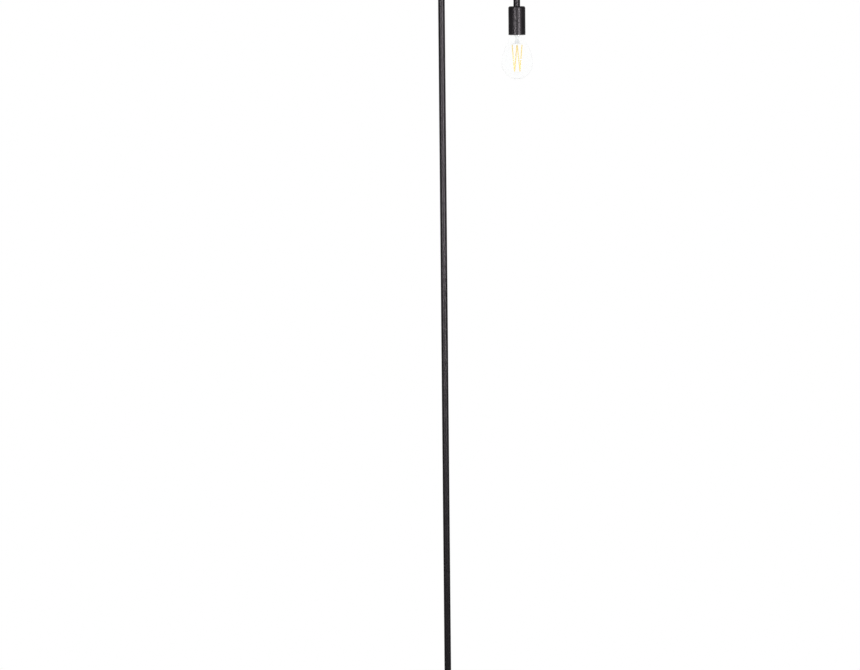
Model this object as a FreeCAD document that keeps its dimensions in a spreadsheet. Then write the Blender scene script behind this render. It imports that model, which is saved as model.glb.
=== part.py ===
import FreeCAD, Part
import math
import os
from types import SimpleNamespace

import Sketcher
from FreeCAD import Vector

# Arc-top floor lamp. Origin: centre of the base on the floor. +Z up, +X from the pole towards the bulb.
# Driving dimensions, in millimetres and degrees.
DIMENSIONS = {
    # whole lamp
    "total_height": 1500,
    "reach": 146,
    "joint_height": 755,
    "stem_drop": 43,
    # floor pad and bottom plate
    "pad_thickness": 2,
    "pad_inset": 6,
    "plate_thickness": 1.2,
    "plate_gap": 0.8,
    # pressed base cover
    "cover_radius": 125,
    "cover_height": 23,
    "cover_wall": 1.2,
    "cover_edge": 6,
    # cast weight
    "weight_gap": 5.8,
    "weight_lift": 4.8,
    "weight_edge": 2,
    "web_thickness": 5,
    "recess_radius": 50,
    "boss_radius": 7,
    "channel_width": 12,
    # tubes, their inserts and the hollow threaded rods
    "tube_radius": 6.5,
    "tube_wall": 0.8,
    "tube_chamfer": 0.3,
    "insert_wall": 0.68,
    "insert_length": 20,
    "rod_wall": 1.2,
    "rod_grip": 14,
    "rod_chamfer": 0.4,
    "press_gap": 0.02,
    "thread_gap": 0.05,
    "hole_gap": 0.25,
    # collar at the foot of the pole
    "collar_radius": 14,
    "collar_height": 8,
    "collar_edge": 2,
    "collar_seat": 2,
    "seat_gap": 0.1,
    # washers, tags and nuts on the threaded rods
    "washer_radius": 15,
    "washer_thickness": 1.6,
    "tag_radius": 8,
    "tag_thickness": 0.8,
    "tag_reach": 12.5,
    "tag_width": 5,
    "tooth_radius": 9,
    "tooth_thickness": 0.8,
    "tooth_notch": 1.6,
    "nut_flats": 14,
    "nut_height": 3,
    "rod_tail": 1,
    # edge guards in the mouths of the rods
    "guard_wall": 0.65,
    "guard_gap": 0.1,
    "guard_flange": 1,
    "guard_depth": 5,
    # screws
    "plate_screw": 2,
    "plate_screw_head": 3.5,
    "plate_screw_length": 9,
    "small_screw": 1.5,
    "small_screw_head": 2.75,
    "small_screw_head_height": 1.6,
    "small_screw_length": 15,
    "floor_clearance": 0.4,
    "screw_play": 0.2,
    "screw_fit": 0.05,
    # cord inlet in the rim
    "cord_bore": 3.6,
    "grommet_wall": 1.4,
    "grommet_flange": 1.5,
    "grommet_length": 7,
    "grommet_barb": 0.6,
    "clamp_bite": 0.9,
    "clamp_thickness": 2.4,
    "clamp_width": 10,
    "clamp_setback": 12,
    # terminal block
    "block_gap": 1.6,
    "block_length": 16,
    "block_setback": 6,
    "block_ledge": 11.5,
    "way_pitch": 12,
    "way_bore": 3,
    "way_drop": 7.5,
    "sleeve_gap": 0.1,
    "sleeve_wall": 0.7,
    "wire_screw": 1.3,
    "wire_screw_head": 1.9,
    "wire_screw_head_height": 1.2,
    "block_screw_length": 4.5,
    # lamp holder
    "holder_height": 55.5,
    "holder_wall": 0.8,
    "holder_edge": 3.5,
    "body_wall": 1.2,
    "body_gap": 0.5,
    "body_setback": 1,
    "body_floor": 5,
    "bridge_thickness": 1.2,
    "bridge_width": 13,
    "bridge_leg": 12.5,
    "bridge_foot": 8,
    "bridge_screw_bite": 3.5,
    "terminal_height": 6,
    "terminal_length": 7,
    "terminal_width": 8,
    "terminal_start": 7,
    "terminal_screw_length": 3,
    "terminal_bore": 1.3,
    "rivet_radius": 1.2,
    "rivet_head": 2,
    "rivet_head_height": 0.5,
    "live_rivet": 5,
    "neutral_rivet": 10.2,
    "shell_floor": 0.6,
    "shell_opening": 8,
    "contact_strip": 0.5,
    "contact_width": 5,
    "contact_gap": 0.3,
    "contact_tongue": 3.5,
    "contact_bend": 0.2,
    "contact_lean": 0.3,
    "contact_margin": 0.4,
    # screw thread of cap and holder
    "crest_radius": 13.05,
    "thread_depth": 1.05,
    "thread_pitch": 3.63,
    "crest_width": 0.5,
    "root_width": 1.8,
    "screw_gap": 0.4,
    "flank_gap": 0.5,
    "shell_wall": 0.3,
    "shell_gap": 0.25,
    # bulb cap
    "cap_length": 27,
    "cap_skirt": 4.5,
    "cap_shell_length": 23,
    "cap_wall": 0.6,
    "skirt_rise": 0.25,
    "insulator_height": 3,
    "insulator_lip": 2.3,
    "pip_radius": 4.75,
    "pip_height": 0.9,
    "pip_stem": 1.5,
    "pip_gap": 0.3,
    "pip_lift": 0.1,
    "board_thickness": 1,
    "board_height": 13,
    "capacitor_radius": 3.1,
    "capacitor_length": 8,
    "capacitor_gap": 0.05,
    "coil_width": 6,
    "coil_depth": 4,
    "board_margin": 1.4,
    "parts_lift": 2,
    # bulb glass
    "glass_radius": 30,
    "glass_wall": 0.8,
    "glass_centre": 55.5,
    "shoulder_radius": 74,
    "shoulder_angle": 30,
    "neck_curve": 81.4,
    "neck_gap": 0.3,
    "neck_insert": 3,
    "stem_tube": 3.2,
    "stem_bottom": 16.7,
    "press_height": 6,
    "press_width": 8.7,
    "press_thickness": 3,
    # filaments
    "filament_radius": 1,
    "filament_top": 18.6,
    "filament_bottom": 72,
    "filament_ring_top": 9.6,
    "filament_ring_bottom": 7.4,
    "filament_twist": 45,
    "tab_length": 2.4,
    "wire_radius": 0.3,
    # lead that the lamp holds
    "lead_gap": 0.3,
    "sheath_wall": 0.34,
    "core_gap": 0.05,
    "sheath_end": 0.5,
    "core_bend": 4.5,
    "core_sweep": 6,
}

doc = FreeCAD.newDocument("floor_lamp")
sheet = doc.addObject("Spreadsheet::Sheet", "sizes")
for row, (alias, value) in enumerate(DIMENSIONS.items(), 1):
    sheet.set(f"A{row}", alias)
    sheet.set(f"B{row}", str(value))
    sheet.setAlias(f"B{row}", alias)
doc.recompute()


class Size:
    """A number together with the spreadsheet expression that gives it."""

    def __init__(self, value, text):
        self.value = float(value)
        self.text = text

    def __add__(self, other):
        return Size(self.value + number(other), f"({self.text} + {written(other)})")

    def __sub__(self, other):
        return Size(self.value - number(other), f"({self.text} - {written(other)})")

    def __rsub__(self, other):
        return Size(number(other) - self.value, f"({written(other)} - {self.text})")

    def __mul__(self, other):
        return Size(self.value * number(other), f"({self.text} * {written(other)})")

    def __truediv__(self, other):
        return Size(self.value / number(other), f"({self.text} / {written(other)})")

    def __neg__(self):
        return Size(-self.value, f"(0 - {self.text})")

    __radd__ = __add__
    __rmul__ = __mul__


def number(size):
    return size.value if isinstance(size, Size) else float(size)


def written(size):
    return size.text if isinstance(size, Size) else str(size)


def cosine(angle):
    return Size(math.cos(math.radians(angle.value)), f"cos({angle.text})")


def sine(angle):
    return Size(math.sin(math.radians(angle.value)), f"sin({angle.text})")


d = SimpleNamespace(**{alias: Size(sheet.get(alias), f"sizes.{alias}") for alias in DIMENSIONS})

parts = []


# ---- helpers ----------------------------------------------------------------------------------------------


def bind(target, prop, size):
    """Sets a property from the sheet, or to a plain number."""
    if isinstance(size, Size):
        target.setExpression(prop, size.text)
    else:
        setattr(target, prop, size)


def place(target, x=0, y=0, z=0, turn=None):
    target.Placement = FreeCAD.Placement(Vector(number(x), number(y), number(z)), turn or FreeCAD.Rotation())
    for axis, size in zip("xyz", (x, y, z)):
        if isinstance(size, Size):
            target.setExpression(f"Placement.Base.{axis}", size.text)


def keep(target, label):
    """Names a finished sub-part and lists it for export."""
    target.Label = label
    parts.append(target)
    return target


def new_body(label, x=0, y=0, z=0, turn=None, listed=True):
    body = doc.addObject("PartDesign::Body", label)
    place(body, x, y, z, turn)
    return keep(body, label) if listed else body


def new_sketch(body, name, plane, offset=None):
    sketch = body.newObject("Sketcher::SketchObject", name)
    support = next(f for f in body.Origin.OriginFeatures if f.Role == plane)
    sketch.AttachmentSupport = [(support, "")]
    sketch.MapMode = "FlatFace"
    if offset is not None:
        sketch.setExpression("AttachmentOffset.Base.z", written(offset))
    return sketch


def fix_point(sketch, index, end, x, y):
    """Ties a sketch point to the sheet, or to an axis of the sketch where its place is a plain 0."""
    for kind, axis, size in (("DistanceX", -2, x), ("DistanceY", -1, y)):
        if not isinstance(size, Size) and size == 0:
            sketch.addConstraint(Sketcher.Constraint("PointOnObject", index, end, axis))
            continue
        fixed = sketch.addConstraint(Sketcher.Constraint(kind, -1, 1, index, end, number(size)))
        if isinstance(size, Size):
            sketch.setExpression(f"Constraints[{fixed}]", size.text)


def fix_radius(sketch, index, radius):
    fixed = sketch.addConstraint(Sketcher.Constraint("Radius", index, number(radius)))
    if isinstance(radius, Size):
        sketch.setExpression(f"Constraints[{fixed}]", radius.text)


def arc_between(start, end, radius, side):
    """The arc from start to end, and which of its own ends lies at each."""
    along = end - start
    left = Vector(-along.y, along.x, 0).normalize()
    rise = math.sqrt(max(radius**2 - (along.Length / 2) ** 2, 0))
    centre = (start + end) / 2 + left * (rise if side == "left" else -rise)
    angles = [math.atan2(p.y - centre.y, p.x - centre.x) for p in (start, end)]
    ends = (1, 2)
    if side == "right":
        angles.reverse()
        ends = (2, 1)
    circle = Part.Circle(centre, Vector(0, 0, 1), radius)
    return Part.ArcOfCircle(circle, *angles), ends


def draw(sketch, start, *steps):
    """A closed outline. A step (x, y) is a straight run, and (x, y, radius, side) an arc that turns to a side."""
    corners = [start, *steps]
    runs = []
    for here, there in zip(corners, corners[1:] + corners[:1]):
        a = Vector(number(here[0]), number(here[1]), 0)
        b = Vector(number(there[0]), number(there[1]), 0)
        if len(there) == 2:
            curve, ends = Part.LineSegment(a, b), (1, 2)
        else:
            curve, ends = arc_between(a, b, number(there[2]), there[3])
        runs.append((sketch.addGeometry(curve, False), *ends))
    for i, (index, first, _) in enumerate(runs):
        before, _, last = runs[i - 1]
        sketch.addConstraint(Sketcher.Constraint("Coincident", before, last, index, first))
        fix_point(sketch, index, first, *corners[i][:2])
    for (index, _, _), there in zip(runs, corners[1:]):
        if len(there) > 2:
            fix_radius(sketch, index, there[2])
    return sketch


def draw_circle(sketch, radius, x=0, y=0):
    circle = Part.Circle(Vector(number(x), number(y), 0), Vector(0, 0, 1), number(radius))
    index = sketch.addGeometry(circle, False)
    if number(x) == 0 and number(y) == 0:
        sketch.addConstraint(Sketcher.Constraint("Coincident", index, 3, -1, 1))
    else:
        fix_point(sketch, index, 3, x, y)
    fix_radius(sketch, index, radius)
    return sketch


def draw_rectangle(sketch, x0, y0, x1, y1):
    return draw(sketch, (x0, y0), (x1, y0), (x1, y1), (x0, y1))


def feature(body, kind, sketch, **settings):
    made = body.newObject(f"PartDesign::{kind}", kind)
    made.Profile = sketch
    for name, value in settings.items():
        bind(made, name, value)
    return made


def turn_outline(body, kind, *outline):
    """Revolves (Revolution) or cuts (Groove) an outline of radii and heights about the body's own Z axis."""
    sketch = draw(new_sketch(body, "section", "XZ_Plane"), *outline)
    made = feature(body, kind, sketch, Angle=360)
    made.ReferenceAxis = (sketch, ["V_Axis"])
    return made


def turned(label, x, *outline, **options):
    body = new_body(label, x=x, **options)
    turn_outline(body, "Revolution", *outline)
    return body


def drill(body, radius, places, start, depth, upward=True):
    """Round holes at (x, y) places, from a height, upward or downward."""
    sketch = new_sketch(body, "holes", "XY_Plane", start)
    for x, y in places:
        draw_circle(sketch, radius, x, y)
    return feature(body, "Pocket", sketch, Length=depth, Reversed=upward)


def repeat_round(body, features, count):
    pattern = body.newObject("PartDesign::PolarPattern", "around")
    pattern.Originals = features
    pattern.Axis = (features[0].Profile[0], ["N_Axis"])
    pattern.Angle = 360
    pattern.Occurrences = count
    body.Tip = pattern
    return pattern


def repeat_mirrored(body, made, plane):
    mirrored = body.newObject("PartDesign::Mirrored", "mirrored")
    mirrored.Originals = [made]
    mirrored.MirrorPlane = (next(f for f in body.Origin.OriginFeatures if f.Role == plane), [""])
    body.Tip = mirrored
    return mirrored


def primitive(kind, name, x=0, y=0, z=0, turn=None, **settings):
    made = doc.addObject(f"Part::{kind}", name)
    place(made, x, y, z, turn)
    for prop, value in settings.items():
        bind(made, prop, value)
    return made


def grouped(label, members):
    """Separate solids that share one node."""
    group = doc.addObject("Part::Compound", label)
    group.Links = members
    return keep(group, label)


def tube_section(inner, outer, bottom, top):
    return (inner, bottom), (outer, bottom), (outer, top), (inner, top)


def screw(name, radius, length, head, head_height, x, y, z, upward):
    """A slotted screw whose head seats at z, with its thread pointing upward or downward."""
    turn = FreeCAD.Rotation() if upward else FreeCAD.Rotation(Vector(1, 0, 0), 180)
    body = turned(
        name,
        x,
        (0, -head_height),
        (head - head_height / 3, -head_height),
        (head, head_height / -2),
        (head, 0),
        (radius, 0),
        (radius, length - radius / 2),
        (radius / 2, length),
        (0, length),
        y=y,
        z=z,
        turn=turn,
        listed=False,
    )
    slot = draw_rectangle(
        new_sketch(body, "slot", "XY_Plane", -head_height), -head - 1, -radius / 4, head + 1, radius / 4
    )
    feature(body, "Pocket", slot, Length=head_height / 2, Reversed=True)
    return body


# ---- radii that follow from the tube and the screw thread -------------------------------------------------

tube_bore = d.tube_radius - d.tube_wall
insert_radius = tube_bore - d.press_gap
insert_bore = insert_radius - d.insert_wall
rod_radius = insert_bore - d.thread_gap
rod_bore = rod_radius - d.rod_wall
rod_hole = rod_radius + d.hole_gap
guard_radius = rod_bore - d.guard_gap
guard_bore = guard_radius - d.guard_wall
sheath_radius = guard_bore - d.lead_gap
sheath_bore = sheath_radius - d.sheath_wall
# Three cores lie in the sheath, a gap apart: their radius, and how far each lies from the middle.
root_three = math.sqrt(3)
core_radius = (sheath_bore - d.core_gap * (1 + 1 / root_three)) / (1 + 2 / root_three)
core_offset = (core_radius * 2 + d.core_gap) / root_three

root_radius = d.crest_radius - d.thread_depth
land_radius = root_radius + d.screw_gap
groove_radius = d.crest_radius + d.screw_gap
shell_radius = groove_radius + d.shell_wall
cavity_radius = shell_radius + d.shell_gap
body_radius = cavity_radius + d.body_wall
holder_bore = body_radius + d.body_gap
holder_radius = holder_bore + d.holder_wall

# ---- heights, from the floor up ---------------------------------------------------------------------------

plate_top = d.pad_thickness + d.plate_thickness
cover_top = d.pad_thickness + d.cover_height
weight_top = cover_top - d.cover_wall
weight_bottom = plate_top + d.weight_lift
web_bottom = weight_top - d.web_thickness
washer_bottom = web_bottom - d.washer_thickness
base_tag_bottom = washer_bottom - d.tag_thickness
base_tooth_bottom = base_tag_bottom - d.tooth_thickness
base_nut_bottom = base_tooth_bottom - d.nut_height
base_rod_end = base_nut_bottom - d.rod_tail
collar_top = cover_top + d.collar_height
pole_bottom = collar_top - d.collar_seat
spring_line = d.total_height - d.tube_radius - d.reach / 2

# The holder, from the end of the stem down.
holder_top = spring_line - d.stem_drop
holder_bottom = holder_top - d.holder_height
top_tag_bottom = holder_top - d.holder_wall - d.tag_thickness
bridge_top = top_tag_bottom - d.tooth_thickness
top_nut_bottom = bridge_top - d.bridge_thickness - d.nut_height
top_rod_end = top_nut_bottom - d.rod_tail
pip_top = holder_bottom + d.cap_length
contact_bottom = pip_top + d.contact_gap
cavity_top = contact_bottom + d.contact_strip * 5
body_top = cavity_top + d.body_floor
body_bottom = holder_bottom + d.body_setback
skirt_top = holder_bottom + d.cap_skirt
shell_bottom = skirt_top + d.shell_floor
cap_top = holder_bottom + d.cap_shell_length
thread_start = skirt_top + d.root_width
terminal_hole = body_top + d.terminal_height / 2
bridge_hole = d.bridge_leg - d.bridge_thickness * 2 - d.small_screw_head - 0.1

# ---- radii of the base ------------------------------------------------------------------------------------

cover_bore = d.cover_radius - d.cover_wall
plate_radius = cover_bore - d.plate_gap
weight_radius = cover_bore - d.weight_gap
boss_circle = (d.recess_radius + weight_radius) / 2
cord_height = weight_bottom + d.cord_bore + d.clamp_bite
clamp_middle = -(d.recess_radius + d.clamp_setback)
clamp_screw_place = d.channel_width / 2 + d.small_screw_head + 1.5
clamp_holes = [(clamp_middle, clamp_screw_place), (clamp_middle, -clamp_screw_place)]

# ---- terminal block, with its ways along X ----------------------------------------------------------------

block_outer = -(d.recess_radius - d.block_setback)
block_inner = block_outer + d.block_length
block_middle = block_outer + d.block_length / 2
block_bottom = plate_top + d.block_gap
ledge_height = web_bottom - d.block_ledge
way_height = web_bottom - d.way_drop
sleeve_radius = d.way_bore - d.sleeve_gap
sleeve_bore = sleeve_radius - d.sleeve_wall
earth_way, live_way, neutral_way = -d.way_pitch, 0, d.way_pitch
ways = [earth_way, live_way, neutral_way]
wire_screw_columns = [block_middle - d.block_length / 4, block_middle + d.block_length / 4]
block_holes = [(block_middle, d.way_pitch / -2), (block_middle, d.way_pitch / 2)]


# ---- pieces that are used more than once ------------------------------------------------------------------


def pressed_cup(label, x, radius, wall, edge, bottom, top):
    """A deep-drawn cup, open below, with a rounded shoulder, a folded rim and a hole for the threaded rod."""
    bore = radius - wall
    inner_edge = edge - wall
    rim = bottom + wall / 3
    return turned(
        label,
        x,
        (rod_hole, top - wall),
        (bore - inner_edge, top - wall),
        (bore, top - edge, inner_edge, "right"),
        (bore, rim),
        (radius, rim, wall * 0.55, "left"),
        (radius, top - edge),
        (radius - edge, top, edge, "left"),
        (rod_hole, top),
    )


def threaded_rod(label, x, bottom, top):
    inner, outer = rod_radius - d.rod_chamfer, rod_radius
    return turned(
        label,
        x,
        (rod_bore, bottom),
        (inner, bottom),
        (outer, bottom + d.rod_chamfer),
        (outer, top - d.rod_chamfer),
        (inner, top),
        (rod_bore, top),
    )


def tube_insert(label, x, bottom):
    """The threaded bush that is pressed into the end of a tube."""
    return turned(label, x, *tube_section(insert_bore, insert_radius, bottom, bottom + d.insert_length))


def edge_guard(label, x, rod_end):
    """A plastic lining in the lower mouth of a threaded rod."""
    return turned(
        label,
        x,
        (guard_bore, rod_end - d.guard_flange),
        (rod_radius, rod_end - d.guard_flange),
        (rod_radius, rod_end),
        (guard_radius, rod_end),
        (guard_radius, rod_end + d.guard_depth),
        (guard_bore, rod_end + d.guard_depth),
    )


def hex_nut(label, x, bottom):
    circumradius = d.nut_flats / root_three
    prism = primitive("Prism", f"{label}_hexagon", x=x, z=bottom, Circumradius=circumradius, Height=d.nut_height)
    bore = primitive("Cylinder", f"{label}_bore", x=x, z=bottom, Radius=insert_bore, Height=d.nut_height)
    nut = doc.addObject("Part::Cut", label)
    nut.Base = prism
    nut.Tool = bore
    return keep(nut, label)


def tooth_washer(label, x, bottom):
    body = turned(label, x, *tube_section(rod_hole, d.tooth_radius, bottom, bottom + d.tooth_thickness))
    notch = draw_rectangle(
        new_sketch(body, "notch", "XY_Plane", bottom),
        d.tooth_radius - d.tooth_notch,
        d.tooth_notch / -2,
        d.tooth_radius + 1,
        d.tooth_notch / 2,
    )
    cut = feature(body, "Pocket", notch, Length=d.tooth_thickness, Reversed=True)
    repeat_round(body, [cut], 10)
    return body


def earth_tag(label, x, bottom, heading):
    """A ring terminal whose tab points along a heading, in degrees about the rod."""
    body = new_body(label, x=x, turn=FreeCAD.Rotation(Vector(0, 0, 1), heading))
    ring = draw_circle(new_sketch(body, "ring", "XY_Plane", bottom), d.tag_radius)
    feature(body, "Pad", draw_circle(ring, rod_hole), Length=d.tag_thickness)
    tab = draw_rectangle(
        new_sketch(body, "tab", "XY_Plane", bottom), d.tag_radius - 1, d.tag_width / -2, d.tag_reach, d.tag_width / 2
    )
    feature(body, "Pad", tab, Length=d.tag_thickness)
    return body


# ---- base -------------------------------------------------------------------------------------------------


def floor_pad():
    radius = d.cover_radius - d.pad_inset
    body = turned("floor_pad", 0, (0, 0), (radius, 0), (radius, d.pad_thickness), (0, d.pad_thickness))
    hole = d.plate_screw_head + 1.5
    repeat_round(body, [drill(body, hole, [(boss_circle, 0)], 0, d.pad_thickness)], 3)


def bottom_plate():
    bottom = d.pad_thickness
    body = turned(
        "bottom_plate", 0, (0, bottom), (plate_radius, bottom), (plate_radius, plate_top), (0, plate_top)
    )
    hole = d.plate_screw + d.screw_play
    repeat_round(body, [drill(body, hole, [(boss_circle, 0)], bottom, d.plate_thickness)], 3)


def plate_screws():
    length = d.plate_screw_length
    head_height = d.pad_thickness - d.floor_clearance
    members = []
    for i in range(3):
        angle = math.radians(120 * i)
        x, y = boss_circle * math.cos(angle), boss_circle * round(math.sin(angle), 12)
        members.append(
            screw(
                f"plate_screw_{i + 1}",
                d.plate_screw,
                length,
                d.plate_screw_head,
                head_height,
                x,
                y,
                d.pad_thickness,
                True,
            )
        )
    grouped("plate_screws", members)


def base_weight():
    body = turned(
        "base_weight",
        0,
        (rod_hole, web_bottom),
        (d.recess_radius, web_bottom),
        (d.recess_radius, weight_bottom),
        (weight_radius, weight_bottom),
        (weight_radius, weight_top - d.weight_edge),
        (weight_radius - d.weight_edge, weight_top, d.weight_edge, "left"),
        (rod_hole, weight_top),
    )
    boss = draw_circle(new_sketch(body, "boss", "XY_Plane", plate_top), d.boss_radius, boss_circle)
    repeat_round(body, [feature(body, "Pad", boss, Length=d.weight_lift)], 3)
    tapped = drill(body, d.plate_screw + d.screw_fit, [(boss_circle, 0)], plate_top, d.plate_screw_length)
    repeat_round(body, [tapped], 3)
    channel = draw_rectangle(
        new_sketch(body, "channel", "XY_Plane", weight_bottom),
        -(weight_radius + 1),
        d.channel_width / -2,
        -(d.recess_radius - 1),
        d.channel_width / 2,
    )
    feature(body, "Pocket", channel, Length=d.cord_bore * 2 + d.clamp_bite, Reversed=True)
    small = d.small_screw + d.screw_fit
    drill(body, small, clamp_holes, weight_bottom, d.small_screw_length - d.clamp_thickness + 0.5)
    drill(body, small, block_holes, web_bottom, d.small_screw_length - d.block_ledge + 0.5)


def base_cover():
    body = pressed_cup("base_cover", 0, d.cover_radius, d.cover_wall, d.cover_edge, d.pad_thickness, cover_top)
    inlet = draw_circle(new_sketch(body, "inlet", "YZ_Plane"), d.cord_bore + d.grommet_wall + 0.2, 0, cord_height)
    feature(body, "Pocket", inlet, Length=d.cover_radius + 1)


def foot_collar():
    seat = d.tube_radius + d.seat_gap
    turned(
        "foot_collar",
        0,
        (rod_hole, cover_top),
        (d.collar_radius, cover_top),
        (d.collar_radius, collar_top - d.collar_edge),
        (d.collar_radius - d.collar_edge, collar_top, d.collar_edge, "left"),
        (seat, collar_top),
        (seat, pole_bottom),
        (rod_hole, pole_bottom),
    )


def base_stack():
    """What clamps pole, collar, cover and weight together."""
    threaded_rod("base_nipple", 0, base_rod_end, pole_bottom + d.rod_grip)
    turned("base_washer", 0, *tube_section(rod_hole, d.washer_radius, washer_bottom, web_bottom))
    earth_tag("earth_tag_base", 0, base_tag_bottom, 270)
    tooth_washer("base_tooth_washer", 0, base_tooth_bottom)
    hex_nut("base_nut", 0, base_nut_bottom)
    edge_guard("base_bushing", 0, base_rod_end)


def cord_grommet():
    """Lies along X: its own Z axis points out of the rim."""
    neck = d.cord_bore + d.grommet_wall
    barb = neck + d.grommet_barb
    inside = d.cover_wall + 0.3
    tail = d.grommet_length - d.grommet_flange
    turned(
        "cord_grommet",
        -d.cover_radius,
        (d.cord_bore, -tail),
        (neck, -tail),
        (barb, -inside - 1),
        (barb, -inside),
        (neck, -inside),
        (neck, 0),
        (neck + d.grommet_flange, 0),
        (neck + d.grommet_flange - 0.5, d.grommet_flange),
        (d.cord_bore, d.grommet_flange),
        z=cord_height,
        turn=FreeCAD.Rotation(Vector(0, 1, 0), -90),
    )


def cord_clamp():
    body = new_body("cord_clamp")
    bottom = weight_bottom - d.clamp_thickness
    start, end = clamp_middle - d.clamp_width / 2, clamp_middle + d.clamp_width / 2
    half = clamp_screw_place + d.small_screw_head + 1
    tongue = d.channel_width / 2 - 0.5
    bar = draw_rectangle(new_sketch(body, "bar", "XY_Plane", bottom), start, -half, end, half)
    feature(body, "Pad", bar, Length=d.clamp_thickness)
    lip = draw_rectangle(new_sketch(body, "tongue", "XY_Plane", weight_bottom), start, -tongue, end, tongue)
    feature(body, "Pad", lip, Length=d.clamp_bite)
    drill(body, d.small_screw + d.screw_play, clamp_holes, bottom, d.clamp_thickness)


def small_screws():
    """Two hold the clamp bar and two the terminal block."""
    seats = [(x, y, weight_bottom - d.clamp_thickness) for x, y in clamp_holes]
    seats += [(x, y, ledge_height) for x, y in block_holes]
    size = d.small_screw, d.small_screw_length, d.small_screw_head, d.small_screw_head_height
    grouped("small_screws", [screw(f"small_screw_{i}", *size, *seat, True) for i, seat in enumerate(seats, 1)])


def terminal_block():
    """A three-way strip under the web, its screws reached from below."""
    body = new_body("terminal_block")
    half = d.way_pitch * 1.5
    strip = new_sketch(body, "strip", "XY_Plane", block_bottom)
    draw_rectangle(strip, block_outer, -half, block_inner, half)
    feature(body, "Pad", strip, Length=web_bottom - block_bottom)
    bores = new_sketch(body, "bores", "YZ_Plane", block_outer)
    for y in ways:
        draw_circle(bores, d.way_bore, y, way_height)
    feature(body, "Pocket", bores, Length=d.block_length, Reversed=True)
    wire_screws = [(x, y) for x in wire_screw_columns for y in ways]
    drill(body, d.wire_screw_head + d.screw_play, wire_screws, block_bottom, way_height - block_bottom)
    drill(body, d.small_screw_head + d.screw_play, block_holes, block_bottom, ledge_height - block_bottom)
    drill(body, d.small_screw + d.screw_play, block_holes, ledge_height, d.block_ledge)


def block_sleeves():
    """Brass tubes. Each lies along X: its own Z axis points to the pole, and its own X axis down."""
    sleeves = []
    for name, y in zip(("earth", "live", "neutral"), ways):
        sleeve = turned(
            f"{name}_sleeve",
            block_outer,
            *tube_section(sleeve_bore, sleeve_radius, 0.5, d.block_length - 0.5),
            y=y,
            z=way_height,
            turn=FreeCAD.Rotation(Vector(0, 1, 0), 90),
            listed=False,
        )
        tapped = new_sketch(sleeve, "tapped", "YZ_Plane")
        for x in wire_screw_columns:
            draw_circle(tapped, d.wire_screw + d.screw_fit, 0, x - block_outer)
        feature(sleeve, "Pocket", tapped, Length=d.way_bore, Reversed=True)
        sleeves.append(sleeve)
    grouped("block_sleeves", sleeves)


def block_screws():
    """Their tips clamp the cores in the sleeves."""
    tip = way_height - core_radius - d.core_gap
    length = d.block_screw_length
    head = d.wire_screw_head, d.wire_screw_head_height
    screws = [
        screw(f"wire_screw_{i}", d.wire_screw, length, *head, x, y, tip - length, True)
        for i, (x, y) in enumerate(((x, y) for x in wire_screw_columns for y in ways), 1)
    ]
    grouped("block_screws", screws)


# ---- pole -------------------------------------------------------------------------------------------------


def pole():
    bore, outer, edge = tube_bore, d.tube_radius, d.tube_chamfer
    turned(
        "pole_lower",
        0,
        (bore, pole_bottom),
        (outer, pole_bottom),
        (outer, d.joint_height - edge),
        (outer - edge, d.joint_height),
        (bore, d.joint_height),
    )
    upper = new_body("pole_upper")
    bent_tube(upper, outer, bore, d.joint_height, holder_top)
    turn_outline(
        upper,
        "Groove",
        (outer - edge, d.joint_height),
        (outer + 1, d.joint_height),
        (outer + 1, d.joint_height + edge + 1),
        (outer, d.joint_height + edge),
    )
    tube_insert("pole_foot_insert", 0, pole_bottom)
    tube_insert("pole_top_insert", 0, d.joint_height - d.insert_length)
    threaded_rod("joint_nipple", 0, d.joint_height - d.rod_grip, d.joint_height + d.rod_grip)
    tube_insert("upper_pole_insert", 0, d.joint_height)
    tube_insert("stem_insert", d.reach, holder_top)


def bent_tube(body, outer, bore, start, end):
    """Up the pole from a height, through the half circle and down to a height over the holder."""
    path = new_sketch(body, "path", "XZ_Plane")
    rise = path.addGeometry(Part.LineSegment(Vector(0, number(start), 0), Vector(0, number(spring_line), 0)), False)
    crook, ends = arc_between(
        Vector(0, number(spring_line), 0),
        Vector(number(d.reach), number(spring_line), 0),
        number(d.reach) / 2,
        "right",
    )
    bend = path.addGeometry(crook, False)
    fall = path.addGeometry(
        Part.LineSegment(Vector(number(d.reach), number(spring_line), 0), Vector(number(d.reach), number(end), 0)),
        False,
    )
    path.addConstraint(Sketcher.Constraint("Tangent", rise, 2, bend, ends[0]))
    path.addConstraint(Sketcher.Constraint("Tangent", bend, ends[1], fall, 1))
    fix_point(path, rise, 1, 0, start)
    fix_point(path, rise, 2, 0, spring_line)
    fix_point(path, fall, 2, d.reach, end)
    section = new_sketch(body, "section", "XY_Plane", start)
    draw_circle(section, outer)
    draw_circle(section, bore)
    pipe = feature(body, "AdditivePipe", section)
    pipe.Spine = (path, ["Edge1", "Edge2", "Edge3"])
    return pipe


# ---- lamp holder ------------------------------------------------------------------------------------------


def holder_stack():
    """What clamps stem, cover and bridge together."""
    threaded_rod("holder_nipple", d.reach, top_rod_end, holder_top + d.rod_grip)
    earth_tag("earth_tag_top", d.reach, top_tag_bottom, 225)
    tooth_washer("holder_tooth_washer", d.reach, bridge_top)
    hex_nut("holder_lock_nut", d.reach, top_nut_bottom)
    edge_guard("holder_bushing", d.reach, top_rod_end)
    pressed_cup("holder_cover", d.reach, holder_radius, d.holder_wall, d.holder_edge, holder_bottom, holder_top)


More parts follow.
